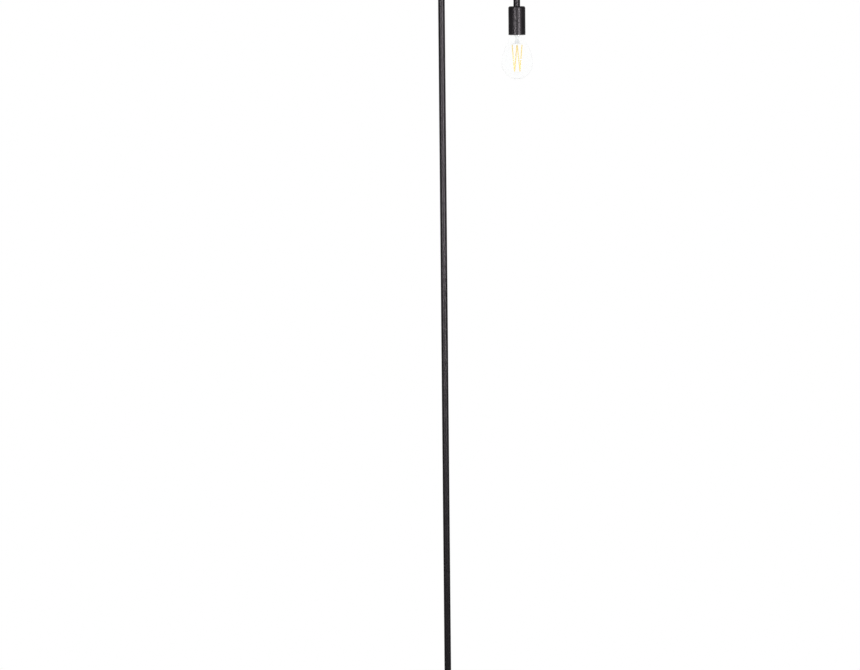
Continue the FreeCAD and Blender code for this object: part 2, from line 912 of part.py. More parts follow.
def holder_bridge():
    """A bent strip that hangs the porcelain body from the threaded rod."""
    body = new_body("holder_bridge", x=d.reach)
    thick, leg, foot = d.bridge_thickness, d.bridge_leg, d.bridge_foot
    bend = thick * 2
    half = draw(
        new_sketch(body, "strip", "YZ_Plane", d.bridge_width / -2),
        (0, bridge_top - thick),
        (leg - bend, bridge_top - thick),
        (leg - thick, bridge_top - bend, thick, "right"),
        (leg - thick, body_top + bend),
        (leg - bend, body_top + thick, thick, "right"),
        (leg - foot, body_top + thick),
        (leg - foot, body_top),
        (leg - bend, body_top),
        (leg, body_top + bend, bend, "left"),
        (leg, bridge_top - bend),
        (leg - bend, bridge_top, bend, "left"),
        (0, bridge_top),
    )
    repeat_mirrored(body, feature(body, "Pad", half, Length=d.bridge_width), "XZ_Plane")
    drill(body, rod_hole, [(0, 0)], bridge_top - thick, thick)
    drill(body, d.small_screw + d.screw_play, [(0, bridge_hole), (0, -bridge_hole)], body_top, thick)
    seat = body_top + thick
    size = d.small_screw, d.bridge_thickness + d.bridge_screw_bite, d.small_screw_head, d.small_screw_head_height
    grouped(
        "bridge_screws",
        [screw(f"bridge_screw_{i}", *size, d.reach, y, seat, False) for i, y in enumerate((bridge_hole, -bridge_hole), 1)],
    )


def holder_body():
    """Porcelain, open below."""
    body = turned(
        "holder_body",
        d.reach,
        (0, cavity_top),
        (cavity_radius, cavity_top),
        (cavity_radius, body_bottom),
        (body_radius, body_bottom),
        (body_radius, body_top - 1),
        (body_radius - 1, body_top, 1, "left"),
        (0, body_top),
    )
    fit = d.small_screw + d.screw_fit
    drill(body, fit, [(0, bridge_hole), (0, -bridge_hole)], body_top, d.bridge_screw_bite + 0.5, upward=False)
    rivets = [(d.live_rivet, 0), (-d.neutral_rivet, 0)]
    drill(body, d.rivet_radius + d.screw_play, rivets, cavity_top, d.body_floor)


def screw_shell():
    body = turned(
        "screw_shell",
        d.reach,
        (d.shell_opening, cavity_top - d.shell_floor),
        (land_radius, cavity_top - d.shell_floor),
        (land_radius, shell_bottom),
        (shell_radius, shell_bottom),
        (shell_radius, cavity_top),
        (d.shell_opening, cavity_top),
    )
    drill(body, d.rivet_radius + d.screw_play, [(-d.neutral_rivet, 0)], cavity_top - d.shell_floor, d.shell_floor)
    start = thread_start - d.thread_pitch
    wide, narrow = d.root_width / 2 + d.flank_gap, d.crest_width / 2 + d.flank_gap
    thread(
        body,
        "SubtractiveHelix",
        d.thread_pitch * 6,
        (land_radius - 0.2, start - wide),
        (land_radius, start - wide),
        (groove_radius, start - narrow),
        (groove_radius, start + narrow),
        (land_radius, start + wide),
        (land_radius - 0.2, start + wide),
    )


def thread(body, kind, height, *outline):
    profile = draw(new_sketch(body, "thread", "XZ_Plane"), *outline)
    helix = feature(body, kind, profile)
    helix.ReferenceAxis = (profile, ["V_Axis"])
    helix.Mode = "pitch-height-angle"
    bind(helix, "Pitch", d.thread_pitch)
    bind(helix, "Height", height)
    return helix


def centre_contact():
    """A springy tongue, riveted at one end and held down over the pip at the other."""
    body = new_body("centre_contact", x=d.reach)
    strip = d.contact_strip
    around_rivet = d.rivet_head + d.contact_margin
    outer, inner = d.live_rivet + around_rivet, d.live_rivet - around_rivet
    side = draw(
        new_sketch(body, "strip", "XZ_Plane", d.contact_width / -2),
        (-d.contact_tongue, contact_bottom),
        (d.contact_bend + d.contact_lean, contact_bottom),
        (inner + d.contact_lean, cavity_top - strip),
        (outer, cavity_top - strip),
        (outer, cavity_top),
        (inner, cavity_top),
        (d.contact_bend, contact_bottom + strip),
        (-d.contact_tongue, contact_bottom + strip),
    )
    feature(body, "Pad", side, Length=d.contact_width)
    drill(body, d.rivet_radius + d.screw_play, [(d.live_rivet, 0)], cavity_top - strip, strip)


def terminal(label, heading, wire_place, rivet, contact_thickness):
    """A brass clamp on the porcelain, riveted through to its contact. It lies along a heading from the axis."""
    body = new_body(label, x=d.reach, turn=FreeCAD.Rotation(Vector(0, 0, 1), heading))
    start, end, half = d.terminal_start, d.terminal_start + d.terminal_length, d.terminal_width / 2
    clamp = draw_rectangle(new_sketch(body, "clamp", "XY_Plane", body_top), start, -half, end, half)
    feature(body, "Pad", clamp, Length=d.terminal_height)
    head = d.rivet_head
    if number(rivet) < number(start):
        # the rivet stands beside the clamp, on a foot of its own
        sketch = new_sketch(body, "foot", "XY_Plane", body_top)
        foot = draw_rectangle(sketch, rivet - head, -head, start + 1, head)
        feature(body, "Pad", foot, Length=d.contact_strip)
    shank_end = cavity_top - contact_thickness
    shank = draw_circle(new_sketch(body, "shank", "XY_Plane", shank_end), d.rivet_radius, rivet)
    feature(body, "Pad", shank, Length=d.body_floor + contact_thickness)
    rivet_end = shank_end - d.rivet_head_height
    rivet_head = draw_circle(new_sketch(body, "rivet_head", "XY_Plane", rivet_end), d.rivet_head, rivet)
    feature(body, "Pad", rivet_head, Length=d.rivet_head_height)
    wire = draw_circle(new_sketch(body, "wire", "YZ_Plane", start), d.terminal_bore, wire_place, terminal_hole)
    feature(body, "Pocket", wire, Length=d.terminal_length - 1, Reversed=True)
    fit = d.wire_screw + d.screw_fit
    drill(body, fit, [(start + d.terminal_length / 2, wire_place)], terminal_hole, d.terminal_height)


def terminals():
    terminal("terminal_live", 0, 0, d.live_rivet, d.contact_strip)
    terminal("terminal_neutral", 180, core_offset * (root_three / -2), d.neutral_rivet, d.shell_floor)
    middle = d.terminal_start + d.terminal_length / 2
    tip = terminal_hole + core_radius + d.core_gap
    size = d.wire_screw, d.terminal_screw_length, d.wire_screw_head, d.wire_screw_head_height
    seat = tip + d.terminal_screw_length
    grouped(
        "terminal_screws",
        [
            screw("live_screw", *size, d.reach + middle, 0, seat, False),
            screw("neutral_screw", *size, d.reach - middle, core_offset * (root_three / 2), seat, False),
        ],
    )


# ---- lead -------------------------------------------------------------------------------------------------


def vector(x, y, z):
    return Vector(number(x), number(y), number(z))


def rounded_path(points, bends):
    """Straight runs joined by tangent arcs, with a bend radius for each inner point."""
    edges = []
    here = points[0]
    for before, corner, after, radius in zip(points, points[1:], points[2:], bends):
        back, ahead = (before - corner).normalize(), (after - corner).normalize()
        half = back.getAngle(ahead) / 2
        setback = number(radius) / math.tan(half)
        start, end = corner + back * setback, corner + ahead * setback
        middle = corner + (back + ahead).normalize() * (number(radius) / math.sin(half) - number(radius))
        if (start - here).Length > 1e-6:
            edges.append(Part.LineSegment(here, start).toShape())
        edges.append(Part.Arc(start, middle, end).toShape())
        here = end
    edges.append(Part.LineSegment(here, points[-1]).toShape())
    return Part.Wire(edges)


def bent_wire(name, points, bends, radius):
    """A round wire along a route in space."""
    path = rounded_path(points, bends)
    ring = Part.Wire(Part.Circle(points[0], points[1] - points[0], number(radius)).toShape())
    wire = doc.addObject("Part::Feature", name)
    wire.Shape = path.makePipeShell([ring], True, False)
    full = math.pi * number(radius) ** 2 * path.Length
    print(f"{name}: {path.Length:.1f} mm, volume {wire.Shape.Volume / full:.4f} of section times length")
    return wire


def lead():
    """One sheathed lead of three cores, whole from the terminal block to the holder."""
    sheath = new_body("flex_sheath")
    sheath_start = base_rod_end - d.guard_flange - d.sheath_end
    bent_tube(sheath, sheath_radius, sheath_bore, sheath_start, top_rod_end - d.guard_flange - d.sheath_end)
    corridor = sheath_start - d.core_bend
    side = core_offset * (root_three / 2)
    tag_end = (d.tag_reach - core_radius - 0.2) / math.sqrt(2)
    tag_turn = top_rod_end - d.guard_flange - d.sheath_end - d.core_bend
    terminal_end = d.terminal_start + d.terminal_length - 1.5
    routes = {
        "live_core": (
            (-core_offset, 0, live_way),
            [(d.reach + core_offset, 0, terminal_hole), (d.reach + terminal_end, 0, terminal_hole)],
        ),
        "neutral_core": (
            (core_offset / 2, side, neutral_way),
            [
                (d.reach - core_offset / 2, side, terminal_hole),
                (d.reach - terminal_end, side, terminal_hole),
            ],
        ),
        "earth_core": (
            (core_offset / 2, -side, earth_way + core_radius + d.core_gap / 2),
            [
                (d.reach - core_offset / 2, -side, tag_turn),
                (d.reach - tag_end, -tag_end, tag_turn),
                (d.reach - tag_end, -tag_end, top_tag_bottom),
            ],
        ),
    }
    for label, ((x, y, way), top) in routes.items():
        crook = d.reach / 2 - x
        points = [
            (block_middle, way, way_height),
            (block_inner + d.core_sweep, way, way_height),
            (block_inner + d.core_sweep * 2.2, way, corridor),
            (x, y, corridor),
            (x, y, spring_line + crook),
            (d.reach - x, y, spring_line + crook),
            *top,
        ]
        bends = [d.core_sweep, d.core_sweep, d.core_bend, crook, crook] + [d.core_bend] * (len(top) - 1)
        keep(bent_wire(label, [vector(*p) for p in points], bends, core_radius), label)
    under_tag = base_tag_bottom - core_radius - d.core_gap
    way = earth_way - core_radius - d.core_gap / 2
    link = [
        (block_middle, way, way_height),
        (block_inner + d.core_sweep, way, way_height),
        (-d.tag_reach / 2, way - d.core_sweep * 1.5, under_tag),
        (0, -d.tag_reach - d.core_sweep, under_tag),
        (0, -d.tooth_radius - 1, under_tag),
    ]
    bends = [d.core_sweep, d.core_bend, d.core_bend]
    keep(bent_wire("earth_link", [vector(*p) for p in link], bends, core_radius), "earth_link")


# ---- bulb -------------------------------------------------------------------------------------------------

skirt_radius = d.crest_radius + d.skirt_rise
skirt_bore = skirt_radius - d.cap_wall
cap_bore = root_radius - d.cap_wall
insulator_bottom = cap_top - d.insulator_lip
insulator_top = cap_top + d.insulator_height
neck_radius = skirt_bore - d.neck_gap


def cap_shell():
    wall = d.cap_wall
    body = turned(
        "cap_shell",
        d.reach,
        (skirt_bore, holder_bottom),
        (skirt_radius, holder_bottom),
        (skirt_radius, skirt_top - wall),
        (root_radius, skirt_top),
        (root_radius, cap_top - wall / 2),
        (root_radius - wall / 2, cap_top),
        (cap_bore, cap_top),
        (cap_bore, skirt_top - wall),
        (skirt_bore, skirt_top - wall * 2),
    )
    wide, narrow = d.root_width / 2, d.crest_width / 2
    thread(
        body,
        "AdditiveHelix",
        d.thread_pitch * 4,
        (root_radius - 0.1, thread_start + wide),
        (root_radius - 0.1, thread_start - wide),
        (d.crest_radius, thread_start - narrow),
        (d.crest_radius, thread_start + narrow),
    )


def cap_insulator():
    hole = d.pip_stem + d.pip_gap
    turned(
        "cap_insulator",
        d.reach,
        (hole, insulator_bottom),
        (cap_bore, insulator_bottom),
        (cap_bore, cap_top),
        (root_radius - d.cap_wall / 2, cap_top),
        (d.pip_radius + 1.5, insulator_top),
        (hole, insulator_top),
    )


def cap_contact():
    bottom = insulator_top + d.pip_lift
    turned(
        "cap_contact",
        d.reach,
        (0, insulator_bottom + d.pip_gap),
        (d.pip_stem, insulator_bottom + d.pip_gap),
        (d.pip_stem, bottom),
        (d.pip_radius, bottom),
        (d.pip_radius, pip_top - 0.5),
        (d.pip_radius - 0.5, pip_top, 0.5, "left"),
        (0, pip_top),
    )


def driver():
    """The small driver board that stands in the cap, with a capacitor and a coil on it."""
    half = cap_bore - d.board_margin
    bottom = insulator_bottom - d.board_height
    board = primitive(
        "Box",
        "driver_board",
        d.reach - half,
        d.board_thickness / -2,
        bottom,
        Length=half * 2,
        Width=d.board_thickness,
        Height=d.board_height,
    )
    keep(board, "driver_board")
    face = d.board_thickness / 2
    capacitor = primitive(
        "Cylinder",
        "capacitor",
        d.reach,
        face + d.capacitor_radius + d.capacitor_gap,
        bottom + d.parts_lift,
        Radius=d.capacitor_radius,
        Height=d.capacitor_length,
    )
    coil = primitive(
        "Box",
        "coil",
        d.reach - d.coil_width / 2,
        -face - d.coil_depth,
        bottom + d.parts_lift,
        Length=d.coil_width,
        Width=d.coil_depth,
        Height=d.coil_width,
    )
    grouped("driver_parts", [capacitor, coil])


def glass_bulb():
    centre = holder_bottom - d.glass_centre
    lean = d.shoulder_angle
    wall = d.glass_wall

    def edge(offset):
        """Radius and height of shoulder and neck, a wall further in or not."""
        arc = d.shoulder_radius - offset
        shoulder = d.glass_radius - d.shoulder_radius + arc * cosine(lean), centre + arc * sine(lean)
        return shoulder, (neck_radius - offset, holder_bottom - 0.5)

    shoulder, neck = edge(0)
    inner_shoulder, inner_neck = edge(wall)
    neck_top = holder_bottom + d.neck_insert
    turned(
        "glass_bulb",
        d.reach,
        (0, centre - d.glass_radius),
        (d.glass_radius, centre, d.glass_radius, "left"),
        (*shoulder, d.shoulder_radius, "left"),
        (*neck, d.neck_curve, "right"),
        (neck[0], neck_top),
        (inner_neck[0], neck_top),
        inner_neck,
        (*inner_shoulder, d.neck_curve + wall, "left"),
        (d.glass_radius - wall, centre, d.shoulder_radius - wall, "right"),
        (0, centre - d.glass_radius + wall, d.glass_radius - wall, "right"),
    )


def glass_stem():
    """The flared tube that is fused into the neck, with its flattened press at the lower end."""
    body_wall = d.glass_wall
    bottom = holder_bottom - d.stem_bottom
    press_top = bottom + d.press_height
    flare = neck_radius - d.glass_wall - d.neck_gap
    top = holder_bottom + d.neck_insert
    bore = d.stem_tube - body_wall
    body = turned(
        "glass_stem",
        d.reach,
        (0, press_top - 1),
        (d.stem_tube, press_top - 1),
        (d.stem_tube, top - 4),
        (flare, top - body_wall, flare - d.stem_tube, "right"),
        (flare, top),
        (flare - body_wall, top),
        (bore, top - 3, flare - bore, "left"),
        (bore, press_top + 1),
        (0, press_top + 1),
    )
    half, flat = d.press_width / 2, d.press_thickness / 2
    press = draw_rectangle(new_sketch(body, "press", "XY_Plane", bottom), -half, -flat, half, flat)
    feature(body, "Pad", press, Length=d.press_height)


def filament_ends():
    """Top and bottom of each filament, in the order left, front, right, back."""
    top, bottom = holder_bottom - d.filament_top, holder_bottom - d.filament_bottom
    ends = []
    for angle in (180, 270, 0, 90):
        a, b = math.radians(angle), math.radians(angle + number(d.filament_twist))
        high = vector(d.reach, 0, top) + Vector(math.cos(a), math.sin(a), 0) * number(d.filament_ring_top)
        low = vector(d.reach, 0, bottom) + Vector(math.cos(b), math.sin(b), 0) * number(d.filament_ring_bottom)
        ends.append((high, low))
    return ends


def filaments():
    rods, supports = [], []
    press = vector(d.reach, 0, holder_bottom - d.stem_bottom - d.wire_radius)
    tab = number(d.tab_length)
    lows = []
    for i, (high, low) in enumerate(filament_ends(), 1):
        along = (low - high).normalize()
        rod_top, rod_bottom = high + along * tab, low - along * tab
        rod = doc.addObject("Part::Cylinder", f"filament_{i}")
        bind(rod, "Radius", d.filament_radius)
        rod.Height = (rod_bottom - rod_top).Length
        rod.Placement = FreeCAD.Placement(rod_top, FreeCAD.Rotation(Vector(0, 0, 1), along))
        rods.append(rod)
        lows.append((rod_bottom, low))
        out = (high - press) * 0.3
        root = press + Vector(out.x, out.y * 0.3, 0)
        knee = Vector(high.x, high.y, high.z + 0.9)
        supports.append(bent_wire(f"support_{i}", [root, knee, rod_top], [0.6], d.wire_radius))
    grouped("filaments", rods)
    grouped("support_wires", supports)
    links = []
    for name, a, b in (("left_link", 0, 3), ("right_link", 1, 2)):
        points = [lows[a][0], lows[a][1], lows[b][1], lows[b][0]]
        links.append(bent_wire(name, points, [1, 1], d.wire_radius))
    grouped("filament_links", links)


# ---- build, check and export ------------------------------------------------------------------------------

for build in (
    floor_pad,
    bottom_plate,
    plate_screws,
    base_weight,
    base_cover,
    foot_collar,
    base_stack,
    cord_grommet,
    cord_clamp,
    small_screws,
    terminal_block,
    block_sleeves,
    block_screws,
    pole,
    holder_stack,
    holder_bridge,
    holder_body,
    screw_shell,
    centre_contact,
    terminals,
    lead,
    cap_shell,
    cap_insulator,
    cap_contact,
    driver,
    glass_bulb,
    glass_stem,
    filaments,
):
    build()
doc.recompute()

failed = [thing.Label for thing in doc.Objects if {"Invalid", "Error"} & set(thing.State)]
failed += [part.Label for part in parts if part.Shape.isNull() or not part.Shape.isValid()]
if failed:
    raise RuntimeError(f"not built: {failed}")

os.makedirs("parts", exist_ok=True)
for part in parts:
    part.Shape.exportStep(f"parts/{part.Label}.step")
    box = part.Shape.BoundBox
    print(
        f"{part.Label}: {len(part.Shape.Solids)} solids, {part.Shape.Volume / 1000:.3f} cm3, "
        f"x {box.XMin:.2f}..{box.XMax:.2f}, y {box.YMin:.2f}..{box.YMax:.2f}, z {box.ZMin:.2f}..{box.ZMax:.2f}"
    )
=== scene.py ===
import math
from types import SimpleNamespace

import bmesh
import bpy
from mathutils import Matrix, Vector


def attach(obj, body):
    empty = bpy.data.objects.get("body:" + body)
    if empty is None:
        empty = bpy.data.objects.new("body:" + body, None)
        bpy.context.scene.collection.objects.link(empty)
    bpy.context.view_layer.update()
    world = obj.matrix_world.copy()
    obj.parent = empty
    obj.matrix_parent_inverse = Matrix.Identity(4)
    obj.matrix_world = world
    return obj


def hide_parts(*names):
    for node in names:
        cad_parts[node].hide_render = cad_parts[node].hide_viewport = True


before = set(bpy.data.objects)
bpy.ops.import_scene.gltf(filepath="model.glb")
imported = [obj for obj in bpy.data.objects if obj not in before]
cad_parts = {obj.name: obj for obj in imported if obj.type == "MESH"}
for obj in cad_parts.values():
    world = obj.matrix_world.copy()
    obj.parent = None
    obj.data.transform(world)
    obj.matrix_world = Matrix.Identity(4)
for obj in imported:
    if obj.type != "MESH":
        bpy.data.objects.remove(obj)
for spare in ("Cube", "Light", "Camera"):
    if spare in bpy.data.objects:
        bpy.data.objects.remove(bpy.data.objects[spare])
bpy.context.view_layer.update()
scene = bpy.context.scene
scene.view_settings.view_transform = "Standard"
mm = 0.001
squareCorners = ((-1, -1), (1, -1), (1, 1), (-1, 1))
print("frame loaded:", len(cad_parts), "nodes")

# camera

cameraView = {
    "stand": (-0.0285, -9.0, 1.5502),
    "lookAt": (-0.0285, 0.0, 0.7392),
    "frameWidth": 1.678,  # metres across the picture at the lamp
    "roll": -0.566,  # degrees, the pole leans that much in the photograph
    "farEnd": 100,
}


def setCamera():
    camera = bpy.data.objects.new("camera", bpy.data.cameras.new("camera"))
    scene.collection.objects.link(camera)
    stand = Vector(cameraView["stand"])
    sight = Vector(cameraView["lookAt"]) - stand
    turn = sight.to_track_quat("-Z", "Y").to_matrix()
    roll = Matrix.Rotation(math.radians(cameraView["roll"]), 3, "Z")
    camera.location = stand
    camera.rotation_euler = (turn @ roll).to_euler()
    camera.data.lens = camera.data.sensor_width * sight.length / cameraView["frameWidth"]
    camera.data.clip_end = cameraView["farEnd"]
    scene.camera = camera


setCamera()
print("camera set")

# shader nodes


def feed(tree, value, socket):
    # value is another node's output or a plain value
    if isinstance(value, bpy.types.NodeSocket):
        tree.links.new(value, socket)
    else:
        socket.default_value = value


def mathOn(tree, operation, *values):
    node = tree.nodes.new("ShaderNodeMath")
    node.operation = operation
    for value, socket in zip(values, node.inputs):
        feed(tree, value, socket)
    return node.outputs[0]


def mixColours(tree, share, first, second):
    mix = tree.nodes.new("ShaderNodeMix")
    mix.data_type = "RGBA"
    feed(tree, share, mix.inputs[0])
    feed(tree, first, mix.inputs[6])
    feed(tree, second, mix.inputs[7])
    return mix.outputs[2]


def mixShaders(tree, share, first, second):
    mix = tree.nodes.new("ShaderNodeMixShader")
    for value, socket in zip((share, first, second), mix.inputs):
        tree.links.new(value, socket)
    return mix.outputs[0]


def spread(tree, value, low, high, fromLow=0.3, fromHigh=0.7, kind="LINEAR"):
    fit = tree.nodes.new("ShaderNodeMapRange")
    fit.interpolation_type = kind
    fit.inputs["From Min"].default_value = fromLow
    fit.inputs["From Max"].default_value = fromHigh
    fit.inputs["To Min"].default_value = low
    fit.inputs["To Max"].default_value = high
    tree.links.new(value, fit.inputs["Value"])
    return fit.outputs["Result"]


def lightPathMask(tree, *kinds):
    # 1 for a ray of any of these kinds
    path = tree.nodes.new("ShaderNodeLightPath")
    mask = path.outputs[kinds[0]]
    for kind in kinds[1:]:
        mask = mathOn(tree, "MAXIMUM", mask, path.outputs[kind])
    return mask


def objectPlace(tree, stretch=(1, 1, 1)):
    place = tree.nodes.new("ShaderNodeTexCoord")
    mapping = tree.nodes.new("ShaderNodeMapping")
    mapping.inputs["Scale"].default_value = stretch
    tree.links.new(place.outputs["Object"], mapping.inputs["Vector"])
    return mapping.outputs["Vector"]


def noiseOn(tree, size, detail, stretch=(1, 1, 1)):
    # size is the width of one spot, in metres
    noise = tree.nodes.new("ShaderNodeTexNoise")
    noise.inputs["Scale"].default_value = 1 / size
    noise.inputs["Detail"].default_value = detail
    tree.links.new(objectPlace(tree, stretch), noise.inputs["Vector"])
    return noise.outputs["Fac"]


def newMaterial(name, colour, roughness, sockets):
    material = bpy.data.materials.new(name)
    material.use_nodes = True
    shader = material.node_tree.nodes["Principled BSDF"]
    shader.inputs["Base Color"].default_value = (*colour, 1)
    shader.inputs["Roughness"].default_value = roughness
    for socket, value in sockets.items():
        shader.inputs[socket].default_value = value
    material.diffuse_color = (*colour, 1)
    return material


def varyColour(material, value, dark, light):
    tree = material.node_tree
    shader = tree.nodes["Principled BSDF"]
    tree.links.new(mixColours(tree, value, (*dark, 1), (*light, 1)), shader.inputs["Base Color"])


def varyRoughness(material, value, low, high):
    tree = material.node_tree
    shader = tree.nodes["Principled BSDF"]
    tree.links.new(spread(tree, value, low, high), shader.inputs["Roughness"])


def raiseBump(material, value, height):
    # height of the relief in metres
    tree = material.node_tree
    bump = tree.nodes.new("ShaderNodeBump")
    bump.inputs["Strength"].default_value = 1.0
    bump.inputs["Distance"].default_value = height
    tree.links.new(value, bump.inputs["Height"])
    shader = tree.nodes["Principled BSDF"]
    before = shader.inputs["Normal"].links
    if before:
        tree.links.new(before[0].from_socket, bump.inputs["Normal"])
    tree.links.new(bump.outputs["Normal"], shader.inputs["Normal"])


# world, lamps and floor

studio = {
    "ambient": 0.2,  # what lights the object from all round
    "behind": 0.7,  # what satin gloss shows of the paper behind it
    "front": 0.08,  # and of the dim room in front
    "sheenFade": (0.3, 1.0),  # between them, as the direction's share towards the back
    "glassFront": 0.75,  # what clear glass shows of that room
    "glassFade": (-1.0, 0.2),
}

softboxes = {
    # name: place, aim, width, height, watts, beam in degrees
    "leftBox": ((-0.78, -1.95, 1.45), (0.07, 0, 1.45), 0.28, 1.4, 3.3, 60),
    "rightBox": ((1.18, -1.90, 1.45), (0.07, 0, 1.45), 0.28, 1.4, 5.2, 60),
    "lowLeftBox": ((-1.35, -2.20, 0.66), (0, 0, 0.66), 1.0, 0.5, 1.5, 60),
    "lowRightBox": ((1.50, -2.20, 0.66), (0, 0, 0.66), 1.0, 0.5, 1.7, 60),
    "topBox": ((0.2, -0.6, 3.0), (0, 0, 0.8), 1.8, 1.8, 12.0, 180),
}

paperFloor = {
    "reach": 40.0,
    "below": 0.0004,  # the paper lies this far under the pad, so the two faces never meet
    "tone": 0.75,
    "roughness": 0.9,
    "gloss": 0.1,
    "glow": 0.62,  # share of plain white in the paper near the lamp, the rest takes its shadow
    "glowNear": 0.24,  # distance from the pole as far as which that share holds
    "glowFar": 0.5,  # distance from which the paper is plain white
    "hole": 0.116,  # radius of a hole right under the base, which lets light reach its underside
}


def buildWorld():
    world = bpy.data.worlds.new("studioAir")
    world.use_nodes = True
    scene.world = world
    tree = world.node_tree
    background = tree.nodes["Background"]
    background.inputs["Color"].default_value = (1, 1, 1, 1)
    place = tree.nodes.new("ShaderNodeTexCoord")
    parts = tree.nodes.new("ShaderNodeSeparateXYZ")
    tree.links.new(place.outputs["Generated"], parts.inputs[0])
    back = parts.outputs["Y"]
    s = SimpleNamespace(**studio)
    sheen = spread(tree, back, s.front, s.behind, *s.sheenFade, kind="SMOOTHSTEP")
    mirror = spread(tree, back, s.glassFront, 1.0, *s.glassFade)
    strength = s.ambient
    for kinds, value in (
        (["Is Glossy Ray"], sheen),
        (["Is Singular Ray"], mirror),
        (["Is Camera Ray", "Is Transmission Ray"], 1.0),
    ):
        choice = tree.nodes.new("ShaderNodeMix")
        feed(tree, lightPathMask(tree, *kinds), choice.inputs[0])
        feed(tree, strength, choice.inputs[2])
        feed(tree, value, choice.inputs[3])
        strength = choice.outputs[0]
    tree.links.new(strength, background.inputs["Strength"])


def buildSoftboxes():
    for name, (place, aim, width, height, watts, beam) in softboxes.items():
        lamp = bpy.data.lights.new(name, "AREA")
        lamp.shape = "RECTANGLE"
        lamp.size, lamp.size_y = width, height
        lamp.energy = watts
        lamp.spread = math.radians(beam)
        holder = bpy.data.objects.new(name, lamp)
        holder.location = place
        holder.rotation_euler = (Vector(aim) - Vector(place)).to_track_quat("-Z", "Y").to_euler()
        holder.visible_camera = False
        # what is inside the bulb is lit by the white room alone
        holder.visible_transmission = False
        scene.collection.objects.link(holder)


def paperMaterial():
    s = SimpleNamespace(**paperFloor)
    sockets = {"Specular IOR Level": s.gloss}
    material = newMaterial("whitePaper", [s.tone] * 3, s.roughness, sockets)
    tree = material.node_tree
    paper = tree.nodes["Principled BSDF"]
    white = tree.nodes.new("ShaderNodeEmission")
    white.inputs["Color"].default_value = (1, 1, 1, 1)
    clear = tree.nodes.new("ShaderNodeBsdfTransparent")
    facing = tree.nodes.new("ShaderNodeNewGeometry")
    length = tree.nodes.new("ShaderNodeVectorMath")
    length.operation = "LENGTH"
    tree.links.new(objectPlace(tree), length.inputs[0])
    distance = length.outputs["Value"]
    glow = spread(tree, distance, s.glow, 1.0, s.glowNear, s.glowFar, kind="SMOOTHSTEP")
    seen = lightPathMask(tree, "Is Camera Ray", "Is Transmission Ray", "Is Singular Ray")
    share = mathOn(tree, "MULTIPLY", glow, seen)
    front = mixShaders(tree, share, paper.outputs[0], white.outputs[0])
    # from below the paper is clear, so that the underside of the base can be looked at
    hole = mathOn(tree, "LESS_THAN", distance, s.hole)
    clearHere = mathOn(tree, "MAXIMUM", hole, facing.outputs["Backfacing"])
    shown = mixShaders(tree, clearHere, front, clear.outputs[0])
    tree.links.new(shown, tree.nodes["Material Output"].inputs["Surface"])
    return material


def buildFloor():
    reach, below = paperFloor["reach"], paperFloor["below"]
    mesh = bpy.data.meshes.new("paperFloor")
    mesh.from_pydata([(x * reach, y * reach, -below) for x, y in squareCorners], [], [(0, 1, 2, 3)])
    mesh.materials.append(paperMaterial())
    floor = bpy.data.objects.new("paperFloor", mesh)
    scene.collection.objects.link(floor)


buildWorld()
buildSoftboxes()
buildFloor()
print("studio ready")

# materials

# clouds vary the colour from dark to light, sheen varies the roughness, relief is a list of bumps
# each noise is the width of a spot, its detail and its stretch; in a relief its height follows


def plasticLook(name, colour, roughness, grain=0.5 * mm, height=0.012 * mm):
    return {
        "name": name,
        "colour": colour,
        "roughness": roughness,
        "clouds": (5 * mm, 3),
        "dark": tuple(v * 0.88 for v in colour),
        "light": tuple(min(1, v * 1.06) for v in colour),
        "sheen": (2 * mm, 3),
        "rough": (roughness - 0.05, roughness + 0.07),
        "relief": [((grain, 2), height)],
    }


metal = {"Metallic": 1.0}
blownGlass = {"Transmission Weight": 1.0, "IOR": 1.22}

